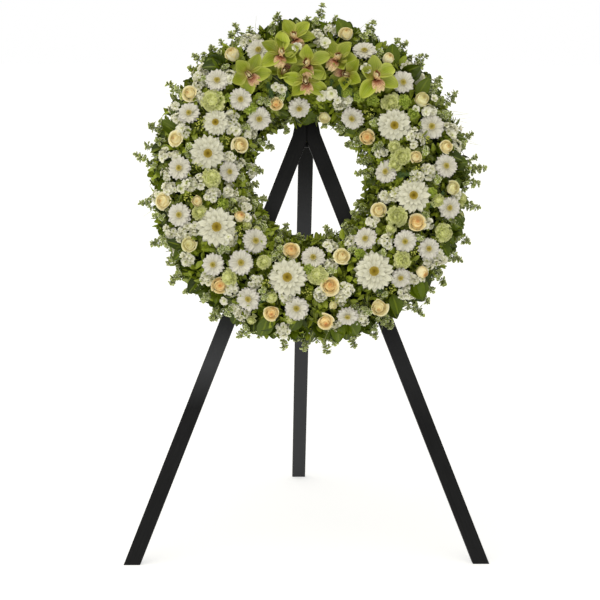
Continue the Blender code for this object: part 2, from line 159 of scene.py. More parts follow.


# Painted sheen: each leg's black paint is mixed towards grey by height, in place of soft light
# reflected off it. The sheen is strongest on the rear leg and just below the wreath on the left leg.
# It fades out at the tops, which are left darker as painted shade under the wreath.
for batten, sheen_by_height in (
    ("front_leg_left", [(0.40, 0.0), (0.51, 0.70), (0.62, 0.40), (0.93, 0.22), (1.0, 0.0)]),
    ("front_leg_right", [(0.38, 0.0), (0.51, 0.16), (0.93, 0.14), (1.0, 0.0)]),
    ("head_block", [(0.0, 0.0), (1.0, 0.0)]),
    ("rear_leg", [(0.0, 0.52), (0.84, 0.50), (0.95, 0.22), (1.0, 0.0)]),
):
    middle = node_points(batten) - node_points(batten).mean(0)
    long_way = np.linalg.svd(middle, full_matrices=False)[2][0]
    dress(painted_wood("black_paint_" + batten, long_way, sheen_by_height), batten)


# ---------------------------------------------------------------- hinge, hook and screws
# Zinc plated steel fittings: a butt hinge with its pin, the bent strap that the ring hangs on,
# and pan-head screws. The plating is slightly cloudy and brushed.

zinc = Finish("zinc_plate", 0.34, metallic=0.92)
place = zinc.surface()
cloud = zinc.noise(place, 90, 4)
zinc.feed("Base Color", zinc.ramp(cloud, [(0.3, shade(150, 150, 146)), (0.7, shade(196, 197, 196))]))
zinc.feed("Roughness", zinc.ramp(cloud, [(0.3, 0.26), (0.7, 0.44)]))
brushed = zinc.add("Mapping", {"Vector": place, "Scale": (1, 1, 0.05)}).outputs["Vector"]
zinc.bump(zinc.noise(brushed, 2400, 2), 0.12, 0.0002)
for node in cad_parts:
    if "screw" in node or node.startswith("hinge") or node == "wreath_hook":
        dress(zinc.material, node)


# ---------------------------------------------------------------- tray and foam
# The ring is wet floral foam, pressed into a thin vacuum-formed tray of green plastic. The foam
# is a fine open-celled sponge, so it looks like dull felt.

plastic = Finish("green_tray_plastic", 0.42)
place = plastic.surface()
cloud = plastic.noise(place, 14, 3)
plastic.feed("Base Color", plastic.ramp(cloud, [(0.3, shade(24, 62, 30)), (0.7, shade(34, 78, 38))]))
plastic.bump(plastic.noise(place, 1500, 2), 0.15, 0.0003)
dress(plastic.material, "ring_tray")

foam = Finish("wet_foam", 0.95, specular=0.2)
place = foam.surface()
cells = foam.add("TexVoronoi", {"Vector": place, "Scale": 900}).outputs["Distance"]
foam.feed("Base Color", foam.ramp(cells, [(0.0, shade(26, 50, 24)), (0.6, shade(62, 98, 50))]))
foam.bump(cells, 0.6, 0.001)
dress(foam.material, "foam_ring")


# ---------------------------------------------------------------- moss packing
# Damp sheet moss laid over the foam before the foliage goes in, so that no foam shows between
# the stems. It is pinned all round the ring and hidden almost everywhere.

# The ring's own axes, taken from the tray: its middle, and the ways right, up and out in front
tray = node_points("ring_tray")
ring_out = np.linalg.svd(tray - tray.mean(0), full_matrices=False)[2][2]
ring_out *= -np.sign(ring_out[1])
ring_right = np.array((1.0, 0.0, 0.0))
ring_up = np.cross(ring_right, -ring_out)
TRAY_CLEARANCE = 0.0003
ring_middle = tray.mean(0) + ring_out * (((tray - tray.mean(0)) @ ring_out).min() - TRAY_CLEARANCE)
RING_BODY = "front_frame"

# The foliage is a rounded cushion round the foam's core: section angle 0 is in front of the
# core, 90 outwards and -90 inwards
CORE_RADIUS = 0.2775
CORE_DEPTH = 0.032
REACH_FRONT, REACH_SIDE = 0.100, 0.130


def ring_place(bearing, radius, depth):
    """World points at clock bearings from the top, radii and depths in front of the legs."""
    bearing, radius, depth = np.broadcast_arrays(bearing, radius, depth)
    flat = np.sin(bearing)[..., None] * ring_right + np.cos(bearing)[..., None] * ring_up
    return ring_middle + radius[..., None] * flat + depth[..., None] * ring_out


def cushion_reach(angle):
    return REACH_FRONT + (REACH_SIDE - REACH_FRONT) * np.sin(angle) ** 2


def cushion_place(bearing, angle, reach):
    """World points round the foam's core."""
    return ring_place(bearing, CORE_RADIUS + reach * np.sin(angle), CORE_DEPTH + reach * np.cos(angle))


def unit(v):
    return v / np.linalg.norm(v, axis=-1, keepdims=True)


def cushion_out(bearing, angle):
    """The ways that point straight out of the cushion."""
    here = cushion_place(bearing, angle, np.full(np.shape(bearing), 0.1))
    return unit(here - cushion_place(bearing, angle, np.zeros(np.shape(bearing))))


def growth_marks(count, rows, cols, chance):
    """For each point of each grid: its place across (-1 to 1) and along (0 to 1), and a chance."""
    marks = np.empty((count, rows, cols, 3))
    marks[..., 0] = np.linspace(-1, 1, cols)
    marks[..., 1] = np.linspace(0, 1, rows)[:, None]
    marks[..., 2] = np.broadcast_to(chance, count)[:, None, None]
    return marks


def knit(name, grids, finishes, nodes=()):
    """Joins grids, as (points, marks, finish number, closed round), into one smooth piece."""
    points, marks, faces, numbers, first = [], [], [], [], 0
    for grid, mark, number, closed in grids:
        count, rows, cols = grid.shape[:3]
        row = np.arange(rows - 1)[:, None] * cols
        col = np.arange(cols if closed else cols - 1)[None, :]
        after = (col + 1) % cols
        face = np.stack([row + col, row + after, row + cols + after, row + cols + col], -1).reshape(-1, 4)
        face = face[None] + (np.arange(count) * rows * cols)[:, None, None] + first
        points.append(grid.reshape(-1, 3))
        marks.append(mark.reshape(-1, 3))
        faces.append(face.reshape(-1, 4))
        numbers.append(np.full(len(faces[-1]), number))
        first += count * rows * cols
    points, marks, faces, numbers = (np.concatenate(a) for a in (points, marks, faces, numbers))
    mesh = bpy.data.meshes.new(name)
    mesh.vertices.add(len(points))
    mesh.vertices.foreach_set("co", points.ravel())
    mesh.loops.add(faces.size)
    mesh.loops.foreach_set("vertex_index", faces.ravel())
    mesh.polygons.add(len(faces))
    mesh.polygons.foreach_set("loop_start", np.arange(len(faces)) * 4)
    mesh.polygons.foreach_set("use_smooth", np.ones(len(faces), bool))
    for finish in finishes:
        mesh.materials.append(finish)
    mesh.polygons.foreach_set("material_index", numbers.astype(np.int32))
    mesh.attributes.new("growth", "FLOAT_VECTOR", "POINT").data.foreach_set("vector", marks.ravel())
    mesh.update(calc_edges=True)
    mesh.validate()
    piece = bpy.data.objects.new(name, mesh)
    bpy.context.scene.collection.objects.link(piece)
    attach(piece, RING_BODY)
    if nodes:
        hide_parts(*nodes)


MOSS_STEPS, MOSS_SIDES = 220, 40
MOSS_ANGLES = (-104, 104)
MOSS_BELOW = 0.030  # under the mean surface of the foliage
MOSS_TUFTS = (-0.010, 0.004)
draw = np.random.default_rng(3)
bearing = np.linspace(0, 2 * np.pi, MOSS_STEPS, endpoint=False)[:, None]
angle = np.radians(np.linspace(*MOSS_ANGLES, MOSS_SIDES))[None, :]
tufts = draw.uniform(*MOSS_TUFTS, (MOSS_STEPS, MOSS_SIDES))
moss_points = cushion_place(bearing, angle, cushion_reach(angle) - MOSS_BELOW + tufts)
moss_points = np.concatenate([moss_points, moss_points[:1]])[None]
moss = Finish("sheet_moss", 0.95, specular=0.2)
place = moss.surface()
fibres = moss.noise(place, 260, 6, 0.7)
moss_greens = [(0.30, shade(14, 20, 8)), (0.55, shade(38, 52, 18)), (0.75, shade(70, 84, 30))]
moss.feed("Base Color", moss.ramp(fibres, moss_greens))
moss.bump(fibres, 1.0, 0.003)
marks = growth_marks(1, MOSS_STEPS + 1, MOSS_SIDES, 0.5)
knit("moss_packing", [(moss_points, marks, 0, False)], [moss.material])


# ---------------------------------------------------------------- bed of short leaves
# Short leathery leaves of evergreen sprigs, pushed into the foam until they cover it. They lie
# every way. A florist works round the ring in eight sections.


def blades(
    base, along, face, length, width, outline, rows, cols, chance, draw,
    curl=0.0, cup=0.0, wave=0.0, waves=3, blunt=0.0,
):
    """Thin sheets that grow from their bases: petals and leaves.

    outline gives the share of the half width at each place along. curl turns the tip towards
    the face, cup lifts the edges, wave ripples them and blunt rounds the tip's corners.
    """
    count = len(base)
    along = unit(np.broadcast_to(along, (count, 3)))
    face = np.broadcast_to(face, (count, 3))
    across = unit(np.cross(along, face))
    face = np.cross(across, along)
    t = np.sin(np.linspace(0, np.pi / 2, rows))[None, :, None]
    s = np.linspace(-1, 1, cols)[None, None, :]
    length, width, curl, cup, wave = (
        np.broadcast_to(v, count)[:, None, None] for v in (length, width, curl, cup, wave)
    )
    curl = np.where(np.abs(curl) < 1e-3, 1e-3, curl)
    half = width / 2 * outline(t)
    reach = t * (1 - blunt * np.abs(s) ** 2.5)
    phase = draw.uniform(0, 2 * np.pi, (count, 1, 1))
    lift = cup * half * s**2 + wave * width * t**2 * np.sin(waves * s + phase)
    forward = length * np.sin(curl * reach) / curl - lift * np.sin(curl * t)
    rise = length * (1 - np.cos(curl * reach)) / curl + lift * np.cos(curl * t)
    points = (
        base[:, None, None]
        + forward[..., None] * along[:, None, None]
        + rise[..., None] * face[:, None, None]
        + (half * s)[..., None] * across[:, None, None]
    )
    marks = growth_marks(count, rows, cols, chance)
    marks[..., 1] = t
    return points, marks


def leaf_outline(t):
    return np.sin(np.pi * np.clip(t, 0, 1) ** 0.85) ** 0.75 * 0.97 + 0.03


def leaf_finish(name, dark, light, rib, roughness=0.42, edge=None, specular=0.4, fresh=None):
    """A leaf: two greens by chance, a paler midrib and side veins, and a coloured edge if given.

    fresh is a third green that comes in patches, where sprigs of another plant were used.
    """
    leaf = Finish(name, roughness, specular)
    across, along, chance = leaf.growth()
    place = leaf.surface()
    blotch = leaf.noise(place, 70, 3)
    tone = leaf.math("ADD", leaf.math("MULTIPLY", chance, 0.75), leaf.math("MULTIPLY", blotch, 0.35))
    colour = leaf.ramp(tone, [(0.15, dark), (0.95, light)])
    if fresh:
        patch = leaf.math("ADD", leaf.noise(place, 11, 2), leaf.math("MULTIPLY", chance, 0.10))
        colour = leaf.mix(leaf.ramp(patch, [(0.52, 0.0), (0.66, 1.0)]), colour, fresh)
    off_rib = leaf.math("ABSOLUTE", across)
    slant = leaf.math("ADD", leaf.math("MULTIPLY", along, 26.0), leaf.math("MULTIPLY", off_rib, -9.0))
    veins = leaf.math("SINE", slant)
    near_rib = leaf.ramp(off_rib, [(0.05, 1.0), (0.16, 0.0)])
    colour = leaf.mix(leaf.ramp(veins, [(0.80, 0.0), (1.0, 0.16)]), colour, rib)
    colour = leaf.mix(near_rib, colour, rib)
    if edge:
        jagged = leaf.math("ADD", off_rib, leaf.math("MULTIPLY", leaf.noise(place, 260, 2), 0.5))
        colour = leaf.mix(leaf.ramp(jagged, [(0.90, 0.0), (1.0, 1.0)]), colour, edge)
    leaf.feed("Base Color", colour)
    relief = leaf.math("ADD", leaf.math("MULTIPLY", off_rib, 0.6), leaf.math("MULTIPLY", veins, 0.12))
    leaf.bump(relief, 0.5, 0.0008)
    return leaf.material


BED_SECTIONS = 8
BED_LEAVES = 8200
BED_ANGLES = (-106, 108)
BED_DEPTHS = (0.008, 0.034)
BED_LENGTHS = (0.017, 0.034)
BED_WIDTH_SHARE = 0.54
BED_LEANS = (0.25, 1.35)  # in radians, away from straight out of the cushion
# The hole is wider at the top, where the leaves inside it are pushed in further
HOLE_ANGLE, HOLE_TURN, HOLE_EXTRA = -0.9, 0.3, 0.012
bed_green = leaf_finish(
    "evergreen_leaf", shade(42, 54, 6), shade(150, 164, 40), shade(166, 176, 72), fresh=shade(156, 172, 44),
)
draw = np.random.default_rng(5)
bearing = draw.uniform(0, 2 * np.pi, BED_LEAVES)
angle = np.radians(draw.uniform(*BED_ANGLES, BED_LEAVES))
top_inside = np.clip(np.cos(bearing + HOLE_TURN), 0, 1) * (angle < HOLE_ANGLE)
depth = draw.uniform(*BED_DEPTHS, BED_LEAVES) + HOLE_EXTRA * top_inside
roots = cushion_place(bearing, angle, cushion_reach(angle) - depth)
out = cushion_out(bearing, angle)
sideways = unit(np.cross(out, draw.normal(size=(BED_LEAVES, 3))))
lean = draw.uniform(*BED_LEANS, BED_LEAVES)[:, None]
along = unit(out * np.cos(lean) + sideways * np.sin(lean))
length = draw.uniform(*BED_LENGTHS, BED_LEAVES)
chance = draw.uniform(0, 1, BED_LEAVES)
section = (bearing / (2 * np.pi) * BED_SECTIONS).astype(int)
for number in range(BED_SECTIONS):
    here = section == number
    grid, marks = blades(
        roots[here], along[here], out[here] + 0.4 * sideways[here], length[here],
        length[here] * BED_WIDTH_SHARE, leaf_outline, 5, 3, chance[here], draw,
        curl=draw.uniform(-0.9, 0.3, here.sum()), cup=0.35,
    )
    knit(
        f"leaf_bed_{number + 1}", [(grid, marks, 0, False)], [bed_green],
        [f"greenery_section_{number + 1}"],
    )


# ---------------------------------------------------------------- large gerberas
# Seven large white gerberas: two whorls of strap petals, a whorl of short ones, two of fine ones
# and a disc of tiny golden florets. Each stands on its own stem, pushed into the foam.

HEAD_RISE = 0.016  # heads stand this far out of the foliage
FACING = 0.6  # a flower faces this share of its section angle outwards
STEM_END = 0.020  # stems stop this far in front of the foam's core


def stalks(paths, thickness, sides, chance):
    """Round stems along paths of points, of a thickness at each point."""
    ahead = unit(np.gradient(paths, axis=1))
    away = np.where(np.abs(ahead[..., 1:2]) > 0.8, (0.0, 0.0, 1.0), (0.0, 1.0, 0.0))
    one = unit(np.cross(ahead, away))
    two = np.cross(ahead, one)
    turn = np.linspace(0, 2 * np.pi, sides, endpoint=False)
    ring = np.cos(turn)[:, None] * one[:, :, None] + np.sin(turn)[:, None] * two[:, :, None]
    thickness = np.broadcast_to(thickness, paths.shape[:2])
    points = paths[:, :, None] + ring * thickness[:, :, None, None] / 2
    return points, growth_marks(len(paths), paths.shape[1], sides, chance)


blooms = []  # the middle, facing and radius of each, so that what comes later keeps clear of them


class Seat:
    """Where a flower sits: the middle of its head, the way it faces and the foot of its stem."""

    def __init__(self, bearing, angle, radius, rise=HEAD_RISE, spin=0.0, facing=FACING, nod=(0.0, 0.0)):
        bearing, angle = math.radians(bearing), math.radians(angle)
        core = cushion_place(bearing, angle, 0.0)
        self.head = cushion_place(bearing, angle, cushion_reach(angle) + rise)
        self.foot = core + unit(self.head - core) * STEM_END
        facing = unit(cushion_place(bearing, angle * facing, 1.0) - core)
        facing = unit(facing + nod[0] * ring_right + nod[1] * ring_up)
        one = unit(np.cross(ring_up, facing))
        two = np.cross(facing, one)
        self.axes = np.stack([
            math.cos(spin) * one + math.sin(spin) * two,
            math.cos(spin) * two - math.sin(spin) * one,
            facing,
        ])
        blooms.append((self.head, facing, radius))

    def put(self, grids):
        """Moves grids made round the origin, facing +Z, onto the head."""
        return [(grid @ self.axes + self.head, *rest) for grid, *rest in grids]

    def stem(self, number, thickness, below):
        """The stem from its foot to a little below the head."""
        top = self.head - self.axes[2] * below
        steps = np.linspace(0, 1, 5)[:, None]
        path = self.foot + (top - self.foot) * steps
        return (*stalks(path[None], thickness, 8, 0.5), number, True)


def by_chance(draw, nod):
    """A head's turn about its stem, and its nod."""
    return {"spin": draw.uniform(0, 6), "nod": draw.normal(size=2) * nod}


def even_turns(count):
    return np.arange(count) * 2 * np.pi / count


def whorl(turns, start, height, tilt, length, width, outline, rows, cols, chance, draw, **shape):
    """Petals that spring from a circle round the origin, tilted up from it."""
    turns = np.asarray(turns, float)
    tilt = np.broadcast_to(tilt, turns.shape)
    spoke = np.stack([np.cos(turns), np.sin(turns), np.zeros_like(turns)], -1)
    up = np.array((0.0, 0.0, 1.0))
    along = np.cos(tilt)[:, None] * spoke + np.sin(tilt)[:, None] * up
    face = np.cos(tilt)[:, None] * up - np.sin(tilt)[:, None] * spoke
    start, height = (np.broadcast_to(v, turns.shape)[:, None] for v in (start, height))
    base = spoke * start + up * height
    return blades(base, along, face, length, width, outline, rows, cols, chance, draw, **shape)


def beads(middles, ways, radii, stretch, rows, sides, chance):
    """Small egg shapes that point along the ways given."""
    ways = unit(ways)
    away = np.where(np.abs(ways[:, 2:3]) > 0.9, (1.0, 0.0, 0.0), (0.0, 0.0, 1.0))
    one = unit(np.cross(ways, away))
    two = np.cross(ways, one)
    lift = np.linspace(-np.pi / 2 * 0.96, np.pi / 2 * 0.96, rows)[:, None]
    turn = np.linspace(0, 2 * np.pi, sides, endpoint=False)[None, :]
    radii = np.broadcast_to(radii, len(middles))[:, None, None, None]
    ring = np.cos(turn)[..., None] * one[:, None, None] + np.sin(turn)[..., None] * two[:, None, None]
    points = middles[:, None, None] + radii * (
        np.cos(lift)[..., None] * ring + stretch * np.sin(lift)[..., None] * ways[:, None, None]
    )
    return points, growth_marks(len(middles), rows, sides, chance)


def knob(height, radius, stretch, rows, sides, finish, chance=0.5):
    """One bead on the head's own axis, as a grid of that finish."""
    middle, way = np.array([(0, 0, height)]), np.array([(0, 0, 1.0)])
    return (*beads(middle, way, radius, stretch, rows, sides, chance), finish, True)


SEED_TURN = 2.39996  # from one seed of a sunflower to the next


def spiral(count, radius, draw, jitter):
    """Places set in a sunflower spiral within a radius."""
    order = np.arange(count) + 0.5
    turn = order * SEED_TURN
    out = radius * np.sqrt(order / count)
    return turn + draw.uniform(-jitter, jitter, count), out


def strap_outline(t):
    shoulder = 0.40 + 0.60 * np.sin(np.pi / 2 * np.clip(t / 0.6, 0, 1))
    return shoulder * np.sqrt(1 - 0.88 * np.clip((t - 0.70) / 0.30, 0, 1) ** 2.4)


def petal_finish(
    name, heart, body, tip, roughness=0.55, veins=9.0, vein_depth=0.06, heart_end=0.35,
    spread=0.08, rim=None,
):
    """A petal: colours from its base to its tip, fine veins along it, and a small chance of tone.

    rim is a colour that the petal fades to at its edges.
    """
    petal = Finish(name, roughness, 0.3)
    across, along, chance = petal.growth()
    place = petal.surface()
    cloud = petal.noise(place, 110, 3)
    shifted = petal.math("ADD", along, petal.math("MULTIPLY", petal.math("SUBTRACT", cloud, 0.5), 0.25))
    colour = petal.ramp(shifted, [(0.02, heart), (heart_end, body), (0.95, tip)])
    if rim:
        edge = petal.math("MULTIPLY", across, across)
        colour = petal.mix(petal.ramp(edge, [(0.15, 0.0), (0.95, 0.75)]), colour, rim)
    lines = petal.math("SINE", petal.math("MULTIPLY", across, veins))
    dim = petal.ramp(lines, [(0.0, 1.0), (1.0, 1.0 - vein_depth)])
    tone = petal.ramp(chance, [(0.0, 1.0 - spread), (1.0, 1.0)])
    colour = petal.mix(1.0, petal.mix(1.0, colour, dim, "MULTIPLY"), tone, "MULTIPLY")
    petal.feed("Base Color", colour)
    petal.bump(petal.math("ADD", petal.math("MULTIPLY", lines, 0.5), cloud), 0.25, 0.0006)
    return petal.material


large_petal = petal_finish(
    "large_gerbera_petal", shade(200, 196, 132), shade(216, 213, 184), shade(226, 224, 202),
    veins=12.0, vein_depth=0.10, spread=0.12,
)
golden_disc = petal_finish("golden_disc", shade(116, 94, 16), shade(164, 138, 30), shade(204, 182, 82), 0.7)
stem_skin = leaf_finish("flower_stem", shade(88, 104, 44), shade(120, 138, 62), shade(120, 138, 62), 0.5)
PETAL_START = 0.10  # share of the radius at which the petals spring from the head


def gerbera(radius, layers, droop, inner, disc, draw):
    """A gerbera facing +Z. Its shares are of the radius.

    layers: (petals, share of length, share of width, height, tilt), droop: least and most,
    inner: (petals, share of length, height), disc: (florets, share of radius, height).
    """
    grids = []
    for petals, reach, breadth, height, tilt in layers:
        turns = even_turns(petals) + draw.uniform(0, 6) + draw.uniform(-0.09, 0.09, petals)
        length = (reach - PETAL_START) * radius * draw.uniform(0.88, 1.02, petals)
        tilts = tilt + draw.uniform(-0.05, 0.05, petals)
        grid, marks = whorl(
            turns, PETAL_START * radius, height, tilts, length, breadth * radius,
            strap_outline, 8, 5, draw.uniform(0, 1, petals), draw,
            curl=draw.uniform(*droop, petals), cup=0.22, blunt=0.10, wave=0.03,
        )
        grids.append((grid, marks, 0, False))
    petals, reach, height = inner
    for layer in range(2):
        turns = even_turns(petals) + 0.5 * layer + draw.uniform(-0.1, 0.1, petals)
        grid, marks = whorl(
            turns, 0.17 * radius, height, 0.45 + 0.25 * layer,
            radius * (reach - 0.04 * layer) * draw.uniform(0.8, 1.1, petals), 0.075 * radius,
            strap_outline, 4, 3, draw.uniform(0, 1, petals), draw, curl=-0.3, cup=0.3,
        )
        grids.append((grid, marks, 0, False))
    florets, spread, height = disc
    turn, out = spiral(florets, spread * radius, draw, 0.05)
    share = out / (spread * radius)
    dome = height + radius * spread * (0.30 * (1 - share**2) - 0.16 * (1 - share**2) ** 6)
    middles = np.stack([out * np.cos(turn), out * np.sin(turn), dome], -1)
    ways = middles * (0.9, 0.9, 0) + np.array((0, 0, spread * radius))
    size = radius * spread * 1.35 / math.sqrt(florets)
    grid, marks = beads(middles, ways, size * draw.uniform(0.8, 1.1, florets), 1.6, 4, 5, 0.5)
    marks[..., 1] = share[:, None, None]
    grids.append((grid, marks, 1, True))
    return grids


def calyx(radius, finish):
    """The green cup under a head, as a surface of revolution."""
    sides = 14
    turn = np.linspace(0, 2 * np.pi, sides, endpoint=False)
    # each point is its share of the head's radius and its height in metres
    profile = np.array([(0.10, -0.020), (0.16, -0.012), (0.24, -0.006), (0.30, -0.002)]) * (radius, 1.0)
    grid = np.stack([
        profile[:, :1] * np.cos(turn), profile[:, :1] * np.sin(turn), profile[:, 1:] + 0 * turn,
    ], -1)[None]
    return (grid, growth_marks(1, len(profile), sides, 0.5), finish, True)


LARGE_SPREAD = 1.10  # the petals reach this much past the radius listed
LARGE_WHORLS = (
    (18, 1.0, 0.33, -0.0035, -0.04), (17, 0.94, 0.31, 0.0, 0.06), (13, 0.60, 0.20, 0.0020, 0.18),
)
LARGE_DROOP = (-0.40, -0.05)
LARGE_INNER = (28, 0.15, 0.003)
LARGE_DISC = (150, 0.23, 0.004)
# Each flower is (clock bearing from the top, section angle, radius in millimetres)
LARGE_GERBERAS = (
    (58, -14, 42), (100, -7, 43), (146, 4, 49), (193, -9, 48), (242, -5, 49), (283, -6, 44), (300, -1, 34),
)
draw = np.random.default_rng(21)
for number, (bearing, angle, size) in enumerate(LARGE_GERBERAS, 1):
    size *= LARGE_SPREAD / 1000
    seat = Seat(bearing, angle, size, **by_chance(draw, 0.07))
    grids = gerbera(size, LARGE_WHORLS, LARGE_DROOP, LARGE_INNER, LARGE_DISC, draw)
    grids.append(calyx(size, 2))
    grids = seat.put(grids) + [seat.stem(2, 0.0050, 0.018)]
    knit(
        f"large_gerbera_{number}", grids, [large_petal, golden_disc, stem_skin],
        [f"gerbera_{number}"],
    )


# ---------------------------------------------------------------- small gerberas
# Small white gerberas with narrow petals in two close whorls and an olive-yellow disc. About half
# of them have a solid in the frame, and the others stand among these on stems of their own.

small_petal = petal_finish(
    "small_gerbera_petal", shade(202, 192, 136), shade(213, 209, 188), shade(224, 220, 208),
    veins=6.0, vein_depth=0.10, spread=0.12,
)
olive_disc = petal_finish("olive_disc", shade(134, 126, 34), shade(182, 166, 64), shade(216, 202, 128), 0.7)
SMALL_SPREAD = 1.17
SMALL_DROOP = (-0.34, -0.04)
SMALL_INNER = (20, 0.14, 0.0025)
SMALL_DISC = (70, 0.24, 0.003)
SMALL_GERBERAS = (
    (23, 36, 28), (67, 29, 30), (121, 34, 26), (124, 5, 27), (186, 28, 29), (219, 0, 30), (254, 33, 28),
    (274, 28, 28), (316, 30, 28), (35, -46, 28), (85, -44, 28), (138, -34, 27), (221, -33, 30),
)
MORE_SMALL_GERBERAS = (
    (44, 31, 27), (85, 32, 28), (102, 41, 27), (138, 32, 25), (165, 41, 25), (178, -38, 28),
    (207, 34, 29), (228, 25, 27), (274, -36, 25), (298, 36, 26), (318, -7, 27), (319, -40, 28),
    (338, 37, 29), (351, -48, 26),
)
draw = np.random.default_rng(34)
for number, (bearing, angle, size) in enumerate(SMALL_GERBERAS + MORE_SMALL_GERBERAS, 1):
    size *= SMALL_SPREAD / 1000
    seat = Seat(bearing, angle, size, HEAD_RISE - 0.004 * (number % 3), **by_chance(draw, 0.13))
    lift = draw.uniform(-0.02, 0.22)  # some are fully open, others still a little cupped
    petals = int(draw.integers(16, 22))
    whorls = (
        (petals, 1.0, 7.4 / petals, -0.0020, 0.02 + lift),
        (petals, 0.94, 6.6 / petals, 0.0, 0.10 + lift),
    )
    grids = gerbera(size, whorls, SMALL_DROOP, SMALL_INNER, SMALL_DISC, draw)
    grids.append(calyx(size, 2))
    grids = seat.put(grids) + [seat.stem(2, 0.0042, 0.018)]
    nodes = [f"mini_gerbera_{number}"] if number <= len(SMALL_GERBERAS) else []
    knit(f"small_gerbera_{number}", grids, [small_petal, olive_disc, stem_skin], nodes)


# ---------------------------------------------------------------- green orchids
# Cymbidium flowers cut from their spike, each on a stem in the foam. Five waxy yellow-green
# petals stand round a column and a blotched, ruffled lip. Six of them have a solid in the frame.

orchid_petal = petal_finish(
    "orchid_petal", shade(216, 210, 96), shade(166, 182, 46), shade(192, 202, 78),
    0.38, 24.0, 0.14, 0.45, 0.32, rim=shade(218, 224, 118),
)
lip_finish = Finish("orchid_lip", 0.4)
across, along = lip_finish.growth()[:2]
place = lip_finish.surface()
spots = lip_finish.add("TexVoronoi", {"Vector": place, "Scale": 420}).outputs["Distance"]
spotted = lip_finish.ramp(spots, [(0.24, 1.0), (0.50, 0.0)])
where = lip_finish.ramp(along, [(0.0, 1.0), (0.45, 0.9), (0.75, 0.55), (0.95, 0.15)])
blotch = lip_finish.math("MULTIPLY", spotted, where)
lip_ground = lip_finish.ramp(along, [
    (0.10, shade(104, 46, 30)), (0.38, shade(178, 118, 80)), (0.62, shade(228, 190, 140)),
    (0.96, shade(238, 222, 162)),
])
beside = lip_finish.ramp(lip_finish.math("ABSOLUTE", across), [(0.55, 0.0), (0.98, 0.75)])
lip_ground = lip_finish.mix(beside, lip_ground, shade(220, 192, 132))
lip_finish.feed("Base Color", lip_finish.mix(blotch, lip_ground, shade(124, 58, 44)))
lip_finish.bump(spots, 0.3, 0.0006)
column_finish = petal_finish(
    "orchid_column", shade(190, 150, 96), shade(212, 196, 136), shade(232, 224, 184), 0.4,
)


def sepal_outline(t):
    shoulder = 1 - 0.98 * np.clip((t - 0.42) / 0.58, 0, 1) ** 1.8
    return (0.24 + 0.76 * np.sin(np.pi / 2 * np.clip(t / 0.55, 0, 1))) * shoulder**0.62


# The petals of an orchid, one in each column: the top sepal, two petals and two lower sepals
ORCHID_TURNS = (90, 160, 20, 218, -38)
ORCHID_HEIGHTS = (0.0, 0.001, 0.001, -0.002, -0.002)
ORCHID_TILTS = np.array((0.30, 0.12, 0.12, 0.02, 0.02))
ORCHID_LENGTHS = np.array((0.95, 0.98, 0.98, 1.0, 1.0))
ORCHID_WIDTHS = np.array((0.74, 0.68, 0.68, 0.72, 0.72))
COLUMN_WIDTHS = np.array((0.17, 0.16, 0.14, 0.13, 0.14, 0.15, 0.13, 0.04))


def orchid(radius, draw):
    """A cymbidium facing +Z, its lip towards -Y."""
    turns = np.radians(ORCHID_TURNS) + draw.uniform(-0.10, 0.10, 5)
    tilts = ORCHID_TILTS + draw.uniform(-0.12, 0.12, 5)
    petals, marks = whorl(
        turns, 0.08 * radius, ORCHID_HEIGHTS, tilts, radius * ORCHID_LENGTHS, radius * ORCHID_WIDTHS,
        sepal_outline, 12, 11, draw.uniform(0, 1, 5), draw,
        curl=draw.uniform(-0.8, 1.3, 5), cup=draw.uniform(0.45, 1.1, 5), wave=0.045, waves=4,
    )
    lip, lip_marks = whorl(
        np.radians((-90,)), 0.06 * radius, 0.002, 1.10, 0.80 * radius, 0.60 * radius,
        lambda t: 0.52 + 0.48 * np.sin(np.pi * (0.05 + 0.72 * t)), 14, 13, 0.5, draw,
        curl=-2.5, cup=-0.15, wave=0.08, waves=9, blunt=0.12,
    )
    lobes, lobe_marks = whorl(
        np.radians((-160, -20)), 0.06 * radius, 0.002, 1.05, 0.52 * radius, 0.52 * radius,
        lambda t: np.sin(np.pi * (0.20 + 0.70 * t)), 9, 9, 0.2, draw, curl=0.8, cup=0.7, wave=0.04,
    )
    lobe_marks[..., 0] *= 0.6
    lobe_marks[..., 1] = 0.20 + 0.62 * lobe_marks[..., 1]
    steps = np.linspace(0, 1, len(COLUMN_WIDTHS))[:, None]
    arch = np.concatenate([
        0 * steps, 0.12 * radius - 0.20 * radius * steps**2, 0.40 * radius * np.sin(steps * 1.5),
    ], 1)
    column, column_marks = stalks(arch[None], COLUMN_WIDTHS * radius, 10, 0.5)
    return [
        (petals, marks, 0, False), (lip, lip_marks, 1, False), (lobes, lobe_marks, 1, False),
        (column, column_marks, 2, True),
    ]


ORCHID_SPREAD = 1.44
# bearing, section angle, radius in millimetres, the turn of the flower in degrees and how far
# in millimetres it stands in front of the gerberas
ORCHIDS = (
    (329, 12, 38, 44, 2), (346, 19, 38, -6, 8), (353, 36, 38, 30, 2), (359, 3, 38, -2, 12),
    (13, 12, 38, -40, 4), (33, 10, 40, 15, 4),
)
MORE_ORCHIDS = ((357, -16, 38, 8, 4), (19, 0, 36, -115, -12), (346, -1, 34, 150, -12))
draw = np.random.default_rng(55)
for number, (bearing, angle, size, spin, rise) in enumerate(ORCHIDS + MORE_ORCHIDS, 1):
    size *= ORCHID_SPREAD / 1000
    spin, nod = math.radians(spin), draw.normal(size=2) * 0.14
    seat = Seat(bearing, angle, size, HEAD_RISE + rise / 1000, spin=spin, nod=nod)
    grids = seat.put(orchid(size, draw)) + [seat.stem(3, 0.0042, 0.004)]
    nodes = [f"orchid_{number}"] if number <= len(ORCHIDS) else []
    knit(
        f"green_orchid_{number}", grids, [orchid_petal, lip_finish.material, column_finish, stem_skin],
        nodes,
    )


# ---------------------------------------------------------------- spray roses
# Cream, peach and ivory spray roses with wide, pale outer petals round a coiled, deeper heart,
# and some still in bud. Five of them have a solid in the frame.

ROSE_GLOW = 0.070


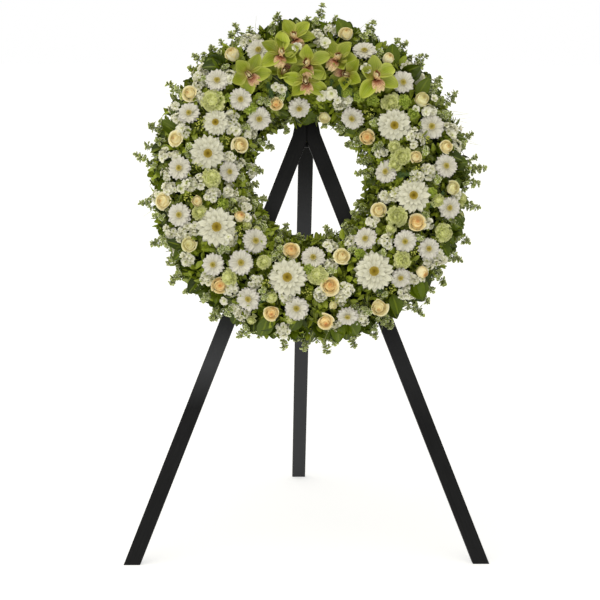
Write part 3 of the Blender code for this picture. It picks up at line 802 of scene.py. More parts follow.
def rose_finish(name, heart, body, tip, heart_end):
    """A petal with a faint warm glow, which stands in for the light that seeps through it."""
    petal = petal_finish(name, heart, body, tip, 0.5, 5.0, 0.03, heart_end)
    skin = petal.node_tree.nodes["Principled BSDF"].inputs
    skin["Emission Color"].default_value = (1.0, 0.80, 0.46, 1)
    skin["Emission Strength"].default_value = ROSE_GLOW
    return petal


cream_petal = rose_finish(
    "cream_rose_petal", shade(244, 208, 124), shade(242, 230, 170), shade(242, 236, 198), 0.42,
)
peach_petal = rose_finish(
    "peach_rose_petal", shade(246, 172, 78), shade(244, 214, 138), shade(242, 232, 186), 0.46,
)
ivory_petal = rose_finish(
    "ivory_rose_petal", shade(232, 224, 142), shade(232, 230, 170), shade(234, 232, 192), 0.42,
)
PETAL_TURN = 2.4  # from one petal, shoot or leaf of a spiral to the next


def rose(radius, openness, draw):
    """A rose facing +Z: petals coiled round its heart, and wider, lower and further apart outwards."""
    petals, rows, cols = 25, 9, 9
    share = np.linspace(0, 1, petals)[:, None, None]
    turn = np.arange(petals)[:, None, None] * PETAL_TURN + draw.uniform(0, 6)
    t = np.linspace(0, 1, rows)[None, :, None]
    s = np.linspace(-1, 1, cols)[None, None, :]
    wide = radius * (0.08 + 0.76 * share**0.85) * draw.uniform(0.90, 1.08, (petals, 1, 1))
    tall = radius * (1.10 - 0.40 * openness) * (0.60 + 0.40 * np.sqrt(share))
    mouth = 0.15 + (0.36 + 0.34 * openness) * share + 0.60 * openness * share**3
    mouth = mouth + draw.uniform(-0.16, 0.16, (petals, 1, 1)) * share  # no two petals open alike
    corner = (0.20 + 0.25 * share) * np.abs(s) ** 2.5
    ripple = 0.05 * share * np.sin(3 * s + 5 * turn)
    polar = 0.86 * np.pi - (0.86 * np.pi - mouth - corner - ripple) * t
    roll = (0.3 + openness) * share**1.5 * np.clip((t - 0.60) / 0.40, 0, 1) ** 2
    out = wide * np.sin(polar) + radius * (0.24 * roll + 0.04 * s * t)
    rise = tall * np.cos(polar) - 0.16 * radius * roll
    swing = turn + (1.95 - 0.75 * share) * s * (0.45 + 0.55 * np.sin(np.pi * (0.12 + 0.55 * t)))
    points = np.stack([out * np.cos(swing), out * np.sin(swing), rise + 0 * out], -1)
    marks = growth_marks(petals, rows, cols, draw.uniform(0, 1, petals))
    marks[..., 1] = np.clip(0.04 + 0.80 * share + 0.20 * t * share, 0, 1)
    cup, cup_marks = whorl(
        even_turns(5), 0.2 * radius, -0.75 * radius, 0.5, 0.9 * radius, 0.35 * radius,
        leaf_outline, 6, 3, 0.5, draw, curl=0.8, cup=0.3,
    )
    return [(points, marks, 0, False), (cup, cup_marks, 1, False)]


ROSE_SPREAD = 0.98
# bearing, section angle, radius in millimetres, colour and how open it is
ROSES = (
    (55, 34, 22, ivory_petal, 0.5), (113, 7, 23, peach_petal, 0.8), (170, 0, 24, peach_petal, 1.0),
    (220, 39, 23, peach_petal, 0.6), (286, 38, 21, cream_petal, 0.9),
)
MORE_ROSES = (
    (13, -60, 17, ivory_petal, 0.5), (14, 51, 20, cream_petal, 0.5), (33, 42, 18, cream_petal, 0.3),
    (54, -50, 21, peach_petal, 0.7), (77, 38, 19, cream_petal, 0.7), (79, -3, 17, cream_petal, 0.6),
    (94, 42, 20, ivory_petal, 0.6), (115, -43, 22, cream_petal, 0.8), (130, 46, 18, peach_petal, 0.2),
    (152, 47, 23, cream_petal, 0.7), (158, -32, 21, cream_petal, 0.8), (174, 44, 22, peach_petal, 0.8),
    (195, -44, 21, peach_petal, 0.8), (196, 39, 20, peach_petal, 0.7), (241, -37, 17, peach_petal, 0.4),
    (241, 36, 22, ivory_petal, 0.7), (258, 7, 16, cream_petal, 0.5), (261, 50, 23, cream_petal, 0.8),
    (295, -41, 23, cream_petal, 0.9), (305, 48, 21, cream_petal, 0.8), (328, 46, 21, cream_petal, 0.3),
    (335, -36, 17, peach_petal, 0.8), (170, 25, 12, ivory_petal, 0.5),
)
ROSE_FACING = 0.45
BUD_OPENNESS, BUD_FACING = 0.45, 0.8  # closed buds lean out and show their sides
draw = np.random.default_rng(89)
for number, (bearing, angle, size, colour, openness) in enumerate(ROSES + MORE_ROSES, 1):
    size *= ROSE_SPREAD / 1000
    facing = ROSE_FACING if openness > BUD_OPENNESS else BUD_FACING
    seat = Seat(bearing, angle, size, HEAD_RISE - 0.004, facing=facing, **by_chance(draw, 0.13))
    grids = seat.put(rose(size, openness, draw)) + [seat.stem(1, 0.0036, 0.008)]
    nodes = [f"rose_{number}"] if number <= len(ROSES) else []
    knit(f"spray_rose_{number}", grids, [colour, stem_skin], nodes)


# ---------------------------------------------------------------- carnations
# Pale lime carnations, crowded with thin, frilled petals round a packed heart. Each stands on
# its own stem, pushed into the foam between the gerberas.

lime_petal = petal_finish(
    "lime_carnation_petal", shade(160, 178, 56), shade(196, 206, 100), shade(226, 228, 160),
    0.6, 8.0, 0.05, spread=0.20,
)


def fan_outline(t):
    return 0.14 + 0.86 * t**1.2


def carnation(radius, draw, petals=38, cols=13):
    """Frilled petals from flat outer ones to upright inner ones round a packed heart, facing +Z."""
    share = (np.arange(petals) + 0.5) / petals
    turns = np.arange(petals) * PETAL_TURN
    tilt = 0.06 + 1.25 * share**0.8 + draw.uniform(-0.22, 0.22, petals)
    length = radius * (1.0 - 0.28 * share) * draw.uniform(0.78, 1.08, petals)
    grid, marks = whorl(
        turns, 0.05 * radius, -0.006 + 0.004 * share, tilt, length, length * 1.10, fan_outline, 7, cols,
        draw.uniform(0, 1, petals), draw,
        curl=draw.uniform(-1.1, 0.6, petals), cup=0.2, wave=0.10, waves=8, blunt=0.16,
    )
    return [(grid, marks, 0, False), knob(0.05 * radius, 0.50 * radius, 0.9, 8, 14, 0)]


CARNATION_SPREAD = 1.08
CARNATIONS = (
    (47, 0, 24), (77, -21, 25), (81, -31, 18), (70, -27, 17), (100, 26, 18), (112, 44, 25),
    (114, -20, 26), (132, 17, 23), (176, -16, 25), (209, -18, 19), (219, 24, 22), (252, 8, 19),
    (270, -15, 24), (308, 17, 30),
)
draw = np.random.default_rng(144)
for number, (bearing, angle, size) in enumerate(CARNATIONS, 1):
    size *= CARNATION_SPREAD / 1000
    seat = Seat(bearing, angle, size, HEAD_RISE - 0.006, **by_chance(draw, 0.14))
    grids = seat.put(carnation(size, draw)) + [seat.stem(1, 0.0034, 0.008)]
    knit(f"carnation_{number}", grids, [lime_petal, stem_skin])


# ---------------------------------------------------------------- white stock
# Clusters of small white florets, broken from spikes of stock, that fill between the gerberas.
# Each floret has a few rounded petals round a pale green eye.

floret_petal = petal_finish(
    "stock_petal", shade(208, 210, 136), shade(238, 236, 206), shade(242, 240, 222),
    0.5, 4.0, 0.04, 0.35, 0.12,
)
floret_eye = petal_finish("stock_eye", shade(150, 168, 70), shade(186, 196, 110), shade(196, 206, 120), 0.6)


def round_outline(t):
    return 0.25 + 0.75 * np.sin(np.pi * np.clip(0.08 + 0.72 * t, 0, 1))


FLORET_SIZE = 0.0098
FLORETS_PER_METRE = 8 / 0.020  # of a cluster's radius


def floret_cluster(radius, draw):
    """Florets on a low dome facing +Z, some open flat and some half closed."""
    florets = max(5, int(FLORETS_PER_METRE * radius))
    turn, out = spiral(florets, 0.85 * radius, draw, 0.4)
    grids = []
    for index in range(florets):
        lean = 0.9 * out[index] / radius + draw.uniform(0.0, 0.35)
        right, up = math.cos(turn[index]), math.sin(turn[index])
        way = np.array((right * math.sin(lean), up * math.sin(lean), math.cos(lean)))
        one = unit(np.cross(way, draw.normal(size=3)))
        axes = np.stack([one, np.cross(way, one), way])
        size = FLORET_SIZE * draw.uniform(0.75, 1.25)
        open_by = draw.uniform(0.0, 0.6)
        spot = np.array((right * out[index], up * out[index], draw.uniform(-0.005, 0.004)))
        for petals, reach, tilt in ((5, 1.0, 0.05 + open_by), (3, 0.7, 0.55 + open_by)):
            turns = even_turns(petals) + draw.uniform(-0.2, 0.2, petals) + tilt
            grid, marks = whorl(
                turns, 0.0008, 0.0, tilt, size * reach, size * reach * 0.95, round_outline, 5, 4,
                draw.uniform(0, 1, petals), draw,
                curl=draw.uniform(-0.8, 0.2, petals), cup=0.3, wave=0.06,
            )
            grids.append((grid @ axes + spot, marks, 0, False))
        eye, *rest = knob(0.0012, 0.0013, 1.2, 3, 5, 1)
        grids.append((eye @ axes + spot, *rest))
    return grids


# bearing, section angle and radius of each cluster in millimetres
STOCK = (
    (3, 47, 20), (60, 36, 18), (69, 3, 26), (87, 13, 20), (90, -6, 18), (102, -34, 18), (122, 55, 19),
    (130, -15, 21), (140, 51, 20), (160, 54, 20), (162, 11, 18), (163, -52, 18), (175, 10, 18),
    (190, 60, 20), (191, 15, 19), (208, 11, 18), (215, 36, 19), (232, -12, 20), (236, 50, 20),
    (247, 34, 18), (249, 54, 16), (249, -52, 18), (260, -15, 20), (266, 40, 18), (268, 3, 18),
    (279, -75, 18), (290, 34, 18), (302, -27, 18), (307, -16, 19), (322, 25, 18),
)
draw = np.random.default_rng(233)
grids = []
for bearing, angle, size in STOCK:
    size /= 1000
    seat = Seat(bearing, angle, size, HEAD_RISE - 0.008, **by_chance(draw, 0.2))
    grids += seat.put(floret_cluster(size, draw))
knit("stock_florets", grids, [floret_petal, floret_eye])


# ---------------------------------------------------------------- white blossoms
# Single white blossoms of lisianthus, with two rounds of thin, cupped petals. Their stems are
# pushed into the foam between the orchids and near the rims.


def blossom(radius, draw):
    """Cupped, overlapping petals round a green eye, facing +Z."""
    grids = []
    for petals, reach, tilt in ((5, 1.0, 0.20), (4, 0.8, 0.60)):
        turns = even_turns(petals) + draw.uniform(-0.15, 0.15, petals) + tilt
        grid, marks = whorl(
            turns, 0.08 * radius, 0.0, tilt, reach * radius, 0.95 * reach * radius, round_outline, 8, 7,
            draw.uniform(0, 1, petals), draw,
            curl=draw.uniform(-0.2, 0.7, petals), cup=0.35, wave=0.06, waves=5,
        )
        grids.append((grid, marks, 0, False))
    return grids + [knob(0.16 * radius, 0.14 * radius, 1.4, 5, 8, 1)]


BLOSSOM_SINK = 4  # millimetres behind the gerberas
# bearing, section angle, radius in millimetres and how far it is raised from there
BLOSSOMS = (
    (354, 20, 13, 24), (6, 25, 15, 24), (27, 12, 14, 18), (73, 50, 12, 0), (14, -29, 17, 2),
    (8, -34, 15, 0), (339, -17, 12, 0), (342, -22, 13, 0), (61, 34, 12, -4), (57, 49, 10, 0),
    (57, 20, 10, 0), (291, 35, 11, 0), (302, -28, 12, 0), (265, 41, 12, -2), (265, 25, 12, -4),
    (236, 51, 12, 0), (121, 62, 12, 0), (215, 51, 11, 0),
)
draw = np.random.default_rng(377)
grids = []
for bearing, angle, size, rise in BLOSSOMS:
    size /= 1000
    seat = Seat(bearing, angle, size, HEAD_RISE + (rise - BLOSSOM_SINK) / 1000, spin=draw.uniform(0, 6))
    grids += seat.put(blossom(size, draw)) + [seat.stem(2, 0.0022, 0.002)]
knit("white_blossoms", grids, [floret_petal, floret_eye, stem_skin])


# ---------------------------------------------------------------- green dianthus
# Moss-like heads of green dianthus: hundreds of fine, soft points, with no petals. They sit low
# between the gerberas.

moss_hair = leaf_finish("dianthus_hair", shade(124, 148, 30), shade(216, 230, 104), shade(216, 230, 120), 0.6)


def moss_ball(radius, draw):
    """A dome of small tufts facing +Z."""
    tufts, hairs = 11, 30
    turn, out = spiral(tufts, 1.0, draw, 0.3)
    polar = 1.5 * out
    way = np.stack([np.cos(turn) * np.sin(polar), np.sin(turn) * np.sin(polar), np.cos(polar)], -1)
    way = np.repeat(way, hairs, axis=0)
    along = unit(way + 0.75 * draw.normal(size=way.shape))
    chance = np.repeat(draw.uniform(0, 1, tufts), hairs)
    grid, marks = blades(
        way * 0.52 * radius, along, unit(np.cross(along, draw.normal(size=way.shape))),
        0.46 * radius * draw.uniform(0.7, 1.2, tufts * hairs), 0.0026, lambda t: 1 - 0.75 * t**2, 4, 3,
        0.6 * chance + draw.uniform(0, 0.4, tufts * hairs), draw,
        curl=draw.uniform(-1.2, 1.2, tufts * hairs), cup=0.8,
    )
    return [(grid, marks, 0, False), knob(0.0, 0.52 * radius, 1.0, 9, 14, 0, chance=0.0)]


DIANTHUS = (
    (311, 15, 19), (314, 4, 16), (319, -24, 20), (51, 14, 21), (58, 15, 17), (31, -20, 18), (23, -22, 17),
    (39, -14, 18), (147, -25, 17), (97, 16, 16), (181, -24, 17), (253, -24, 18),
)
draw = np.random.default_rng(610)
grids = []
for bearing, angle, size in DIANTHUS:
    size /= 1000
    seat = Seat(bearing, angle, size, HEAD_RISE - 0.009, spin=draw.uniform(0, 6))
    grids += seat.put(moss_ball(size, draw))
knit("green_dianthus", grids, [moss_hair])


# ---------------------------------------------------------------- yellow-green buds
# Small clusters of goldenrod buds, still closed, on thin twigs. They lighten the gaps between
# the flowers.

bud_skin = petal_finish("goldenrod_bud", shade(136, 152, 40), shade(176, 184, 66), shade(204, 206, 104), 0.5)
BUD_COUNT = 16
BUD_ROWS = 5
BUD_CLUSTER = 0.013
BUD_ROOM = 0.010
BUDS = (
    (295, 15), (294, -22), (261, 17), (91, -11), (99, -34), (86, -2), (182, 6), (169, 21), (144, 35),
    (350, -2), (25, 20), (345, 43), (297, 17), (125, 22), (203, 7), (233, -26), (276, 4), (42, -28),
    (311, -8), (71, 14),
)
draw = np.random.default_rng(987)
grids = []
for bearing, angle in BUDS:
    seat = Seat(bearing, angle, BUD_ROOM, HEAD_RISE - 0.006)
    turn, out = spiral(BUD_COUNT, BUD_CLUSTER, draw, 0.8)
    dome = 0.004 * np.cos(out / 0.010) + draw.uniform(-0.003, 0.003, BUD_COUNT)
    middles = np.stack([out * np.cos(turn), out * np.sin(turn), dome], -1)
    ways = middles + (0, 0, 0.012)
    radii = draw.uniform(0.0011, 0.0023, BUD_COUNT)
    buds, marks = beads(middles, ways, radii, 1.5, BUD_ROWS, 6, draw.uniform(0, 1))
    marks[..., 1] = np.linspace(0, 1, BUD_ROWS)[None, :, None]
    foot = np.array((0, 0, -0.016)) + 0 * middles
    twigs = stalks(np.stack([foot, (foot + middles) / 2, middles], 1), 0.0009, 4, 0.5)
    grids += seat.put([(buds, marks, 0, True), (*twigs, 1, True)])
knit("goldenrod_buds", grids, [bud_skin, stem_skin])


# ---------------------------------------------------------------- small fillers
# Last the florist fills some of the gaps that are left with broken spikes of stock and small heads
# of lime carnation, until the flowers nearly touch.

GAP_TRIES = 180
GAP_ANGLES = (-50, 64)
GAP_SIZES = ((0.016, 0.019), (0.0105, 0.015))  # the wide gaps are filled first
GAP_OVERLAP = 0.006
LIME_SHARE = 0.22
# Where the dark foliage is left to show: bearing and section angle
DARK_PLACES = (
    (69, -38), (83, 5), (186, -56), (140, -52), (37, 56), (0, -38), (15, -14), (28, -30), (246, -20),
    (207, -46), (160, 24), (183, 38), (228, 60), (325, -22), (63, -46), (96, -44), (177, 27),
    (183, 12), (163, -22),
)
DARK_WIDTH = 0.016
first_dark = len(blooms)
for bearing, angle in DARK_PLACES:
    Seat(bearing, angle, DARK_WIDTH, HEAD_RISE - 0.010)
draw = np.random.default_rng(2584)
florets, limes = [], []
for least, most in GAP_SIZES:
    for bearing, angle in zip(draw.uniform(0, 360, GAP_TRIES), draw.uniform(*GAP_ANGLES, GAP_TRIES)):
        steep = math.radians(angle)
        spot = cushion_place(math.radians(bearing), steep, cushion_reach(steep) + HEAD_RISE)
        heads = np.array([head for head, facing, radius in blooms])
        radii = np.array([radius for head, facing, radius in blooms])
        room = (np.linalg.norm(heads - spot, axis=1) - radii).min() + GAP_OVERLAP
        if room < least:
            continue
        size = min(room, most)
        lime = draw.uniform() < LIME_SHARE
        rise = HEAD_RISE - draw.uniform(0.008, 0.014)
        seat = Seat(bearing, angle, size - GAP_OVERLAP, rise, **by_chance(draw, 0.2))
        if lime:
            limes += seat.put(carnation(size, draw, petals=22, cols=9))
        else:
            florets += seat.put(floret_cluster(size, draw))
knit("filler_florets", florets, [floret_petal, floret_eye])
knit("filler_carnations", limes, [lime_petal])
del blooms[first_dark:first_dark + len(DARK_PLACES)]


# ---------------------------------------------------------------- pittosporum sprigs
# Sprigs of small-leaved pittosporum stand out all round the rim and fill between the flowers.
# The leaves are grey-green with a cream edge, in loose rosettes on the side shoots of thin stems.

stem_green = leaf_finish("green_stem", shade(70, 84, 34), shade(120, 134, 66), shade(120, 134, 66), 0.5)
variegated = leaf_finish(
    "cream_edged_leaf", shade(62, 82, 20), shade(162, 176, 76), shade(190, 200, 120),
    edge=shade(232, 234, 190),
)
SPRIG_ROOT = 0.085  # reach at which the sprigs start, under the leaves
SPRIG_OVERHANG = 0.006  # the last rosette reaches this far past the end of its stem
BLOOM_MARGIN = 0.006


def clear_of_blooms(points, margin):
    """Which points don't stand in or in front of a bloom."""
    clear = np.ones(len(points), bool)
    for head, facing, radius in blooms:
        away = points - head
        lift = away @ facing
        aside = np.linalg.norm(away - lift[:, None] * facing, axis=1)
        clear &= (aside > radius + margin) | (lift < -0.012)
    return clear


def oval_outline(t):
    return np.sin(np.pi * np.clip(t, 0, 1) ** 1.1) ** 0.6 * 0.95 + 0.05


def sprigs(name, roots, tips, shoots, leaf_length, draw, leaves=7, twig=0.010, front=0.0):
    """Thin stems from roots to tips, with side shoots that each end in a rosette of leaves.

    twig is the mean length of the shoots, and front turns them towards the front of the wreath.
    """
    count = len(roots)
    ahead = tips - roots
    span = np.linalg.norm(ahead, axis=1)[:, None, None]
    ahead = unit(ahead)[:, None]
    one = unit(np.cross(ahead, draw.normal(size=(count, 1, 3))))
    two = np.cross(ahead, one)
    bow = draw.uniform(-0.12, 0.12, (count, 1, 1))

    def on_stem(share):
        share = share[..., None]
        return roots[:, None] + span * (share * ahead + bow * np.sin(np.pi * share) * one)

    steps = np.broadcast_to(np.linspace(0, 1, 6), (count, 6))
    stems = stalks(on_stem(steps), np.linspace(0.0024, 0.0013, 6), 5, draw.uniform(0, 1, count))
    share = np.clip(np.linspace(0.40, 1.0, shoots) + draw.uniform(-0.05, 0.05, (count, shoots)), 0, 1)
    turn = (np.arange(shoots) * PETAL_TURN + draw.uniform(0, 6.3, (count, 1)))[..., None]
    fork = on_stem(share)
    share = share[..., None]
    aside = np.cos(turn) * one + np.sin(turn) * two
    grow = unit(ahead * (0.4 + 1.6 * share**3) + aside * (1.25 - share))
    grow = unit(grow + front * ring_out)
    ends = fork + grow * twig * draw.uniform(0.7, 1.3, (count, shoots, 1)) * (1.5 - share)
    twigs = stalks(np.stack([fork, (fork + ends) / 2, ends], 2).reshape(-1, 3, 3), 0.0010, 4, 0.5)
    grow, ends = grow.reshape(-1, 1, 3), ends.reshape(-1, 1, 3)
    one = unit(np.cross(grow, draw.normal(size=grow.shape)))
    two = np.cross(grow, one)
    turn = (np.arange(leaves) * PETAL_TURN + draw.uniform(0, 6.3, (len(grow), 1)))[..., None]
    spoke = np.cos(turn) * one + np.sin(turn) * two
    tilt = np.linspace(0.0, 1.0, leaves)[None, :, None] + draw.uniform(-0.25, 0.25, (len(grow), leaves, 1))
    seat = ends - grow * 0.004 * np.linspace(1, 0, leaves)[None, :, None]
    size = leaf_length * draw.uniform(0.70, 1.15, (len(grow), leaves)) * np.linspace(1.1, 0.75, leaves)
    grid, marks = blades(
        seat.reshape(-1, 3), (np.cos(tilt) * spoke + np.sin(tilt) * grow).reshape(-1, 3),
        (np.cos(tilt) * grow - np.sin(tilt) * spoke).reshape(-1, 3), size.ravel(), size.ravel() * 0.90,
        oval_outline, 5, 3, draw.uniform(0, 1, size.size), draw,
        curl=draw.uniform(-0.5, 0.5, size.size), cup=0.4,
    )
    grids = [(*stems, 0, True), (*twigs, 0, True), (grid, marks, 1, False)]
    knit(name, grids, [stem_green, variegated])


# The long sprigs of the rim: clock bearing of the tip and its distance from the middle in mm
RIM_SPRIGS = (
    (304, 436), (289, 434), (278, 444), (262, 432), (248, 432), (233, 440), (215, 432), (204, 436),
    (189, 432), (174, 444), (165, 440), (157, 436), (151, 430), (140, 444), (136, 434), (128, 434),
    (118, 436), (111, 432), (99, 436), (91, 430), (86, 444), (74, 430), (59, 440), (52, 422), (43, 438),
    (35, 432), (22, 438), (4, 450), (349, 430), (334, 440), (323, 420), (317, 432),
)
draw = np.random.default_rng(8)
place = np.array(RIM_SPRIGS, float)
tip_bearing = np.radians(place[:, 0])
count = len(place)
angle = np.radians(draw.uniform(62, 84, count))
roots = cushion_place(tip_bearing + draw.uniform(-0.05, 0.05, count), angle, SPRIG_ROOT)
tip_radius = place[:, 1] / 1000 - SPRIG_OVERHANG
tips = ring_place(tip_bearing, tip_radius, draw.uniform(0.045, 0.075, count))
sprigs("rim_sprigs", roots, tips, 9, 0.0120, draw, leaves=6, twig=0.019, front=0.5)

# Short sprigs between them, except at the bearings where the rim stays open
RIM_NOTCHES = (17, 29, 68, 104, 122, 161, 270, 295, 300, 310, 349)
NOTCH_COSINE = math.cos(math.radians(3.5))
SHORT_RIM_SPRIGS = 72
count = SHORT_RIM_SPRIGS
bearing = np.linspace(0, 2 * np.pi, count, endpoint=False) + draw.uniform(-0.04, 0.04, count)
angle = np.radians(draw.uniform(56, 94, count))
roots = cushion_place(bearing, angle, SPRIG_ROOT)
tip_bearing = bearing + draw.uniform(-0.04, 0.04, count)
tips = cushion_place(tip_bearing, angle, draw.uniform(0.122, 0.152, count))
keep = clear_of_blooms(tips, BLOOM_MARGIN)
for notch in np.radians(RIM_NOTCHES):
    keep &= np.cos(bearing - notch) < NOTCH_COSINE
sprigs("short_rim_sprigs", roots[keep], tips[keep], 5, 0.0125, draw, leaves=6, twig=0.013, front=0.5)

# Single sprigs that lean into the hole: bearing of the tip and its distance from the middle in mm
INNER_SPRIGS = (
    (335, 134), (310, 126), (280, 124), (265, 136), (247, 124), (229, 148), (207, 128), (190, 146),
    (160, 130), (143, 146), (127, 138), (118, 136), (82, 122), (70, 134), (48, 128), (30, 146), (15, 144),
)
place = np.array(INNER_SPRIGS, float)
tip_bearing = np.radians(place[:, 0])
count = len(place)
root_bearing = tip_bearing + draw.uniform(-0.12, 0.12, count)
roots = cushion_place(root_bearing, np.radians(draw.uniform(-74, -58, count)), SPRIG_ROOT)
tip_radius = place[:, 1] / 1000 + SPRIG_OVERHANG
tips = ring_place(tip_bearing, tip_radius, draw.uniform(0.060, 0.085, count))
sprigs("hole_sprigs", roots, tips, 7, 0.0130, draw, leaves=6, twig=0.011, front=0.5)

# The hole's edge is filled closely: most of all over the hook, and fuller low on the left
OVER_HOOK = (-9, -4, 0, 4, 9, -2, 2)
ROUND_HOLE = 56
inner_bearings = np.concatenate([np.linspace(0, 360, ROUND_HOLE, endpoint=False), OVER_HOOK])
count = len(inner_bearings)
bearing = np.radians(inner_bearings) + draw.uniform(-0.04, 0.04, count)
angle = np.radians(draw.uniform(-92, -56, count))
roots = cushion_place(bearing, angle, SPRIG_ROOT)
reach = draw.uniform(0.100, 0.114, count)
reach += 0.014 * np.clip(np.cos(bearing - 4.2), 0, 1) - 0.010 * np.clip(np.cos(bearing), 0, 1)
tips = cushion_place(bearing + draw.uniform(-0.10, 0.10, count), angle, reach)
keep = clear_of_blooms(tips, BLOOM_MARGIN)
sprigs("inner_sprigs", roots[keep], tips[keep], 4, 0.0115, draw, front=0.5)

# Short sprigs over the face of the ring, with only one in three left under the orchids
FACE_SPRIGS = 300
FACE_SPRIG_ROOT = 0.075
FACE_SPRIG_MARGIN = 0.004
count = FACE_SPRIGS
bearing = draw.uniform(0, 2 * np.pi, count)
angle = np.radians(draw.uniform(-50, 52, count))
roots = cushion_place(bearing, angle, FACE_SPRIG_ROOT)
tip_bearing = bearing + draw.uniform(-0.04, 0.04, count)
tips = cushion_place(tip_bearing, angle, cushion_reach(angle) + draw.uniform(0.002, 0.014, count))
under_orchids = (np.cos(bearing) > 0.88) & (angle < -0.1)
keep = clear_of_blooms(tips, FACE_SPRIG_MARGIN) & ~(under_orchids & (np.arange(count) % 3 > 0))
sprigs("face_sprigs", roots[keep], tips[keep], 4, 0.0120, draw, front=0.3)


# ---------------------------------------------------------------- broad leaves
# Camellia leaves, wired in sets of six and singly, behind the flowers and round the rim. They are
# thick, dark green and glossy, with a sunken, slightly paler midrib.

broad = leaf_finish(
    "camellia_leaf", shade(46, 60, 4), shade(94, 112, 8), shade(106, 120, 22), 0.38, specular=0.28,
)
SET_LEAVES = 6
# Wired sets at the rim: clock bearing and distance from the middle in mm
BROAD_SETS = (
    (12, 398), (51, 385), (323, 390), (290, 384), (283, 388), (273, 378), (256, 392), (239, 394),
    (226, 390), (219, 386), (198, 396), (191, 398), (171, 396), (165, 400), (146, 398), (133, 398),
    (116, 394), (110, 392), (107, 400), (81, 388), (72, 390), (36, 392), (343, 394), (355, 394),
    (305, 380), (182, 392),
)
# Large single leaves behind the flowers of the rim: clock bearing, distance of the tip in mm and
# which way the leaf leans in degrees
RIM_LEAVES = (
    (22, 402, 10), (13, 416, 10), (355, 412, 0), (342, 406, 20), (326, 402, -10), (320, 410, 15),
    (305, 394, 10), (283, 404, 10), (273, 402, -10), (268, 396, 30), (250, 404, 0), (238, 402, -20),
    (232, 416, 20), (228, 420, -10), (224, 412, 15), (218, 410, 20), (208, 414, 0), (203, 412, -20),
    (199, 416, 10), (195, 414, -15), (185, 418, -10), (181, 412, 25), (171, 414, 0), (165, 418, 15),
    (160, 420, -10), (155, 410, 20), (147, 416, 10), (143, 406, -25), (137, 412, 20), (134, 418, -5),
    (130, 410, 15), (117, 412, -20), (108, 412, 15), (96, 408, 20), (91, 412, -15), (86, 408, 10),
    (74, 410, 10), (54, 406, 15), (50, 410, -10), (36, 408, -5), (31, 404, 25),
)
RIM_LEAF_SHOWN = 0.9  # share of a rim leaf's length that lies between its foot and its tip's place
LOOSE_BROAD_LEAVES = 160
draw = np.random.default_rng(13)
place = np.repeat(np.array(BROAD_SETS, float), SET_LEAVES, axis=0)
count = len(place)
bearing = np.radians(place[:, 0]) + draw.uniform(-0.09, 0.09, count)
radius = place[:, 1] / 1000 - draw.uniform(0.026, 0.046, count)
depth = draw.uniform(0.055, 0.110, count)
roots = ring_place(bearing, radius, depth)
outward = unit(ring_place(bearing, radius + 0.01, depth) - roots)
round_ring = np.cross(outward, ring_out)
turn = draw.uniform(-0.95, 0.95, count)[:, None]
forward = draw.uniform(-0.25, 0.45, count)[:, None]
along = outward * np.cos(turn) + round_ring * np.sin(turn) + forward * ring_out
tip_back, side_back = draw.uniform(-0.6, 0.9, count)[:, None], draw.uniform(-0.5, 0.5, count)[:, None]
face = ring_out + tip_back * outward + side_back * round_ring
length = draw.uniform(0.044, 0.062, count)

place = np.array(RIM_LEAVES, float)
count = len(place)
rim_bearing, lean = np.radians(place[:, 0]), np.radians(place[:, 2])[:, None]
rim_length = draw.uniform(0.050, 0.062, count)
rim_depth = draw.uniform(0.060, 0.085, count)
rim_roots = ring_place(rim_bearing, place[:, 1] / 1000 - RIM_LEAF_SHOWN * rim_length, rim_depth)
outward = unit(ring_place(rim_bearing, 1.0, rim_depth) - rim_roots)
rim_along = outward * np.cos(lean) + np.cross(outward, ring_out) * np.sin(lean)
rim_along = rim_along + draw.uniform(-0.15, 0.30, count)[:, None] * ring_out
rim_face = ring_out + draw.uniform(0.0, 0.5, count)[:, None] * outward

count = LOOSE_BROAD_LEAVES
bearing = draw.uniform(0, 2 * np.pi, count)
angle = np.radians(draw.uniform(-80, 60, count))
loose_roots = cushion_place(bearing, angle, cushion_reach(angle) - 0.020)
out = cushion_out(bearing, angle)
sideways = unit(np.cross(out, draw.normal(size=(count, 3))))
loose_along = unit(out * draw.uniform(0.2, 0.9, count)[:, None] + sideways)
roots = np.concatenate([roots, loose_roots])
along = np.concatenate([along, loose_along])
face = np.concatenate([face, out + 0.7 * ring_out])
length = np.concatenate([length, draw.uniform(0.030, 0.044, count)])
keep = clear_of_blooms(roots + 0.55 * length[:, None] * unit(along), 0.004)
roots = np.concatenate([roots[keep], rim_roots])
along, face = np.concatenate([along[keep], rim_along]), np.concatenate([face[keep], rim_face])
length = np.concatenate([length[keep], rim_length])
count = len(roots)
width = length * draw.uniform(0.60, 0.80, count)
grid, marks = blades(
    roots, along, face, length, width, leaf_outline, 10, 7, draw.uniform(0, 1, count), draw,
    curl=draw.uniform(-1.0, 0.2, count), cup=draw.uniform(0.25, 0.65, count), wave=0.020, waves=5,
)
knit("broad_leaves", [(grid, marks, 0, False)], [broad])


# ---------------------------------------------------------------- fern and grass
# Asparagus fern, with fine needles, tucked under the orchids and between the flowers, and a few
# blades of bear grass that arch over the rim.

fern_green = leaf_finish("fern_needle", shade(38, 64, 26), shade(84, 112, 52), shade(84, 112, 52), 0.5)
FERN_NEEDLES = 90
FERN_LENGTH = 0.050
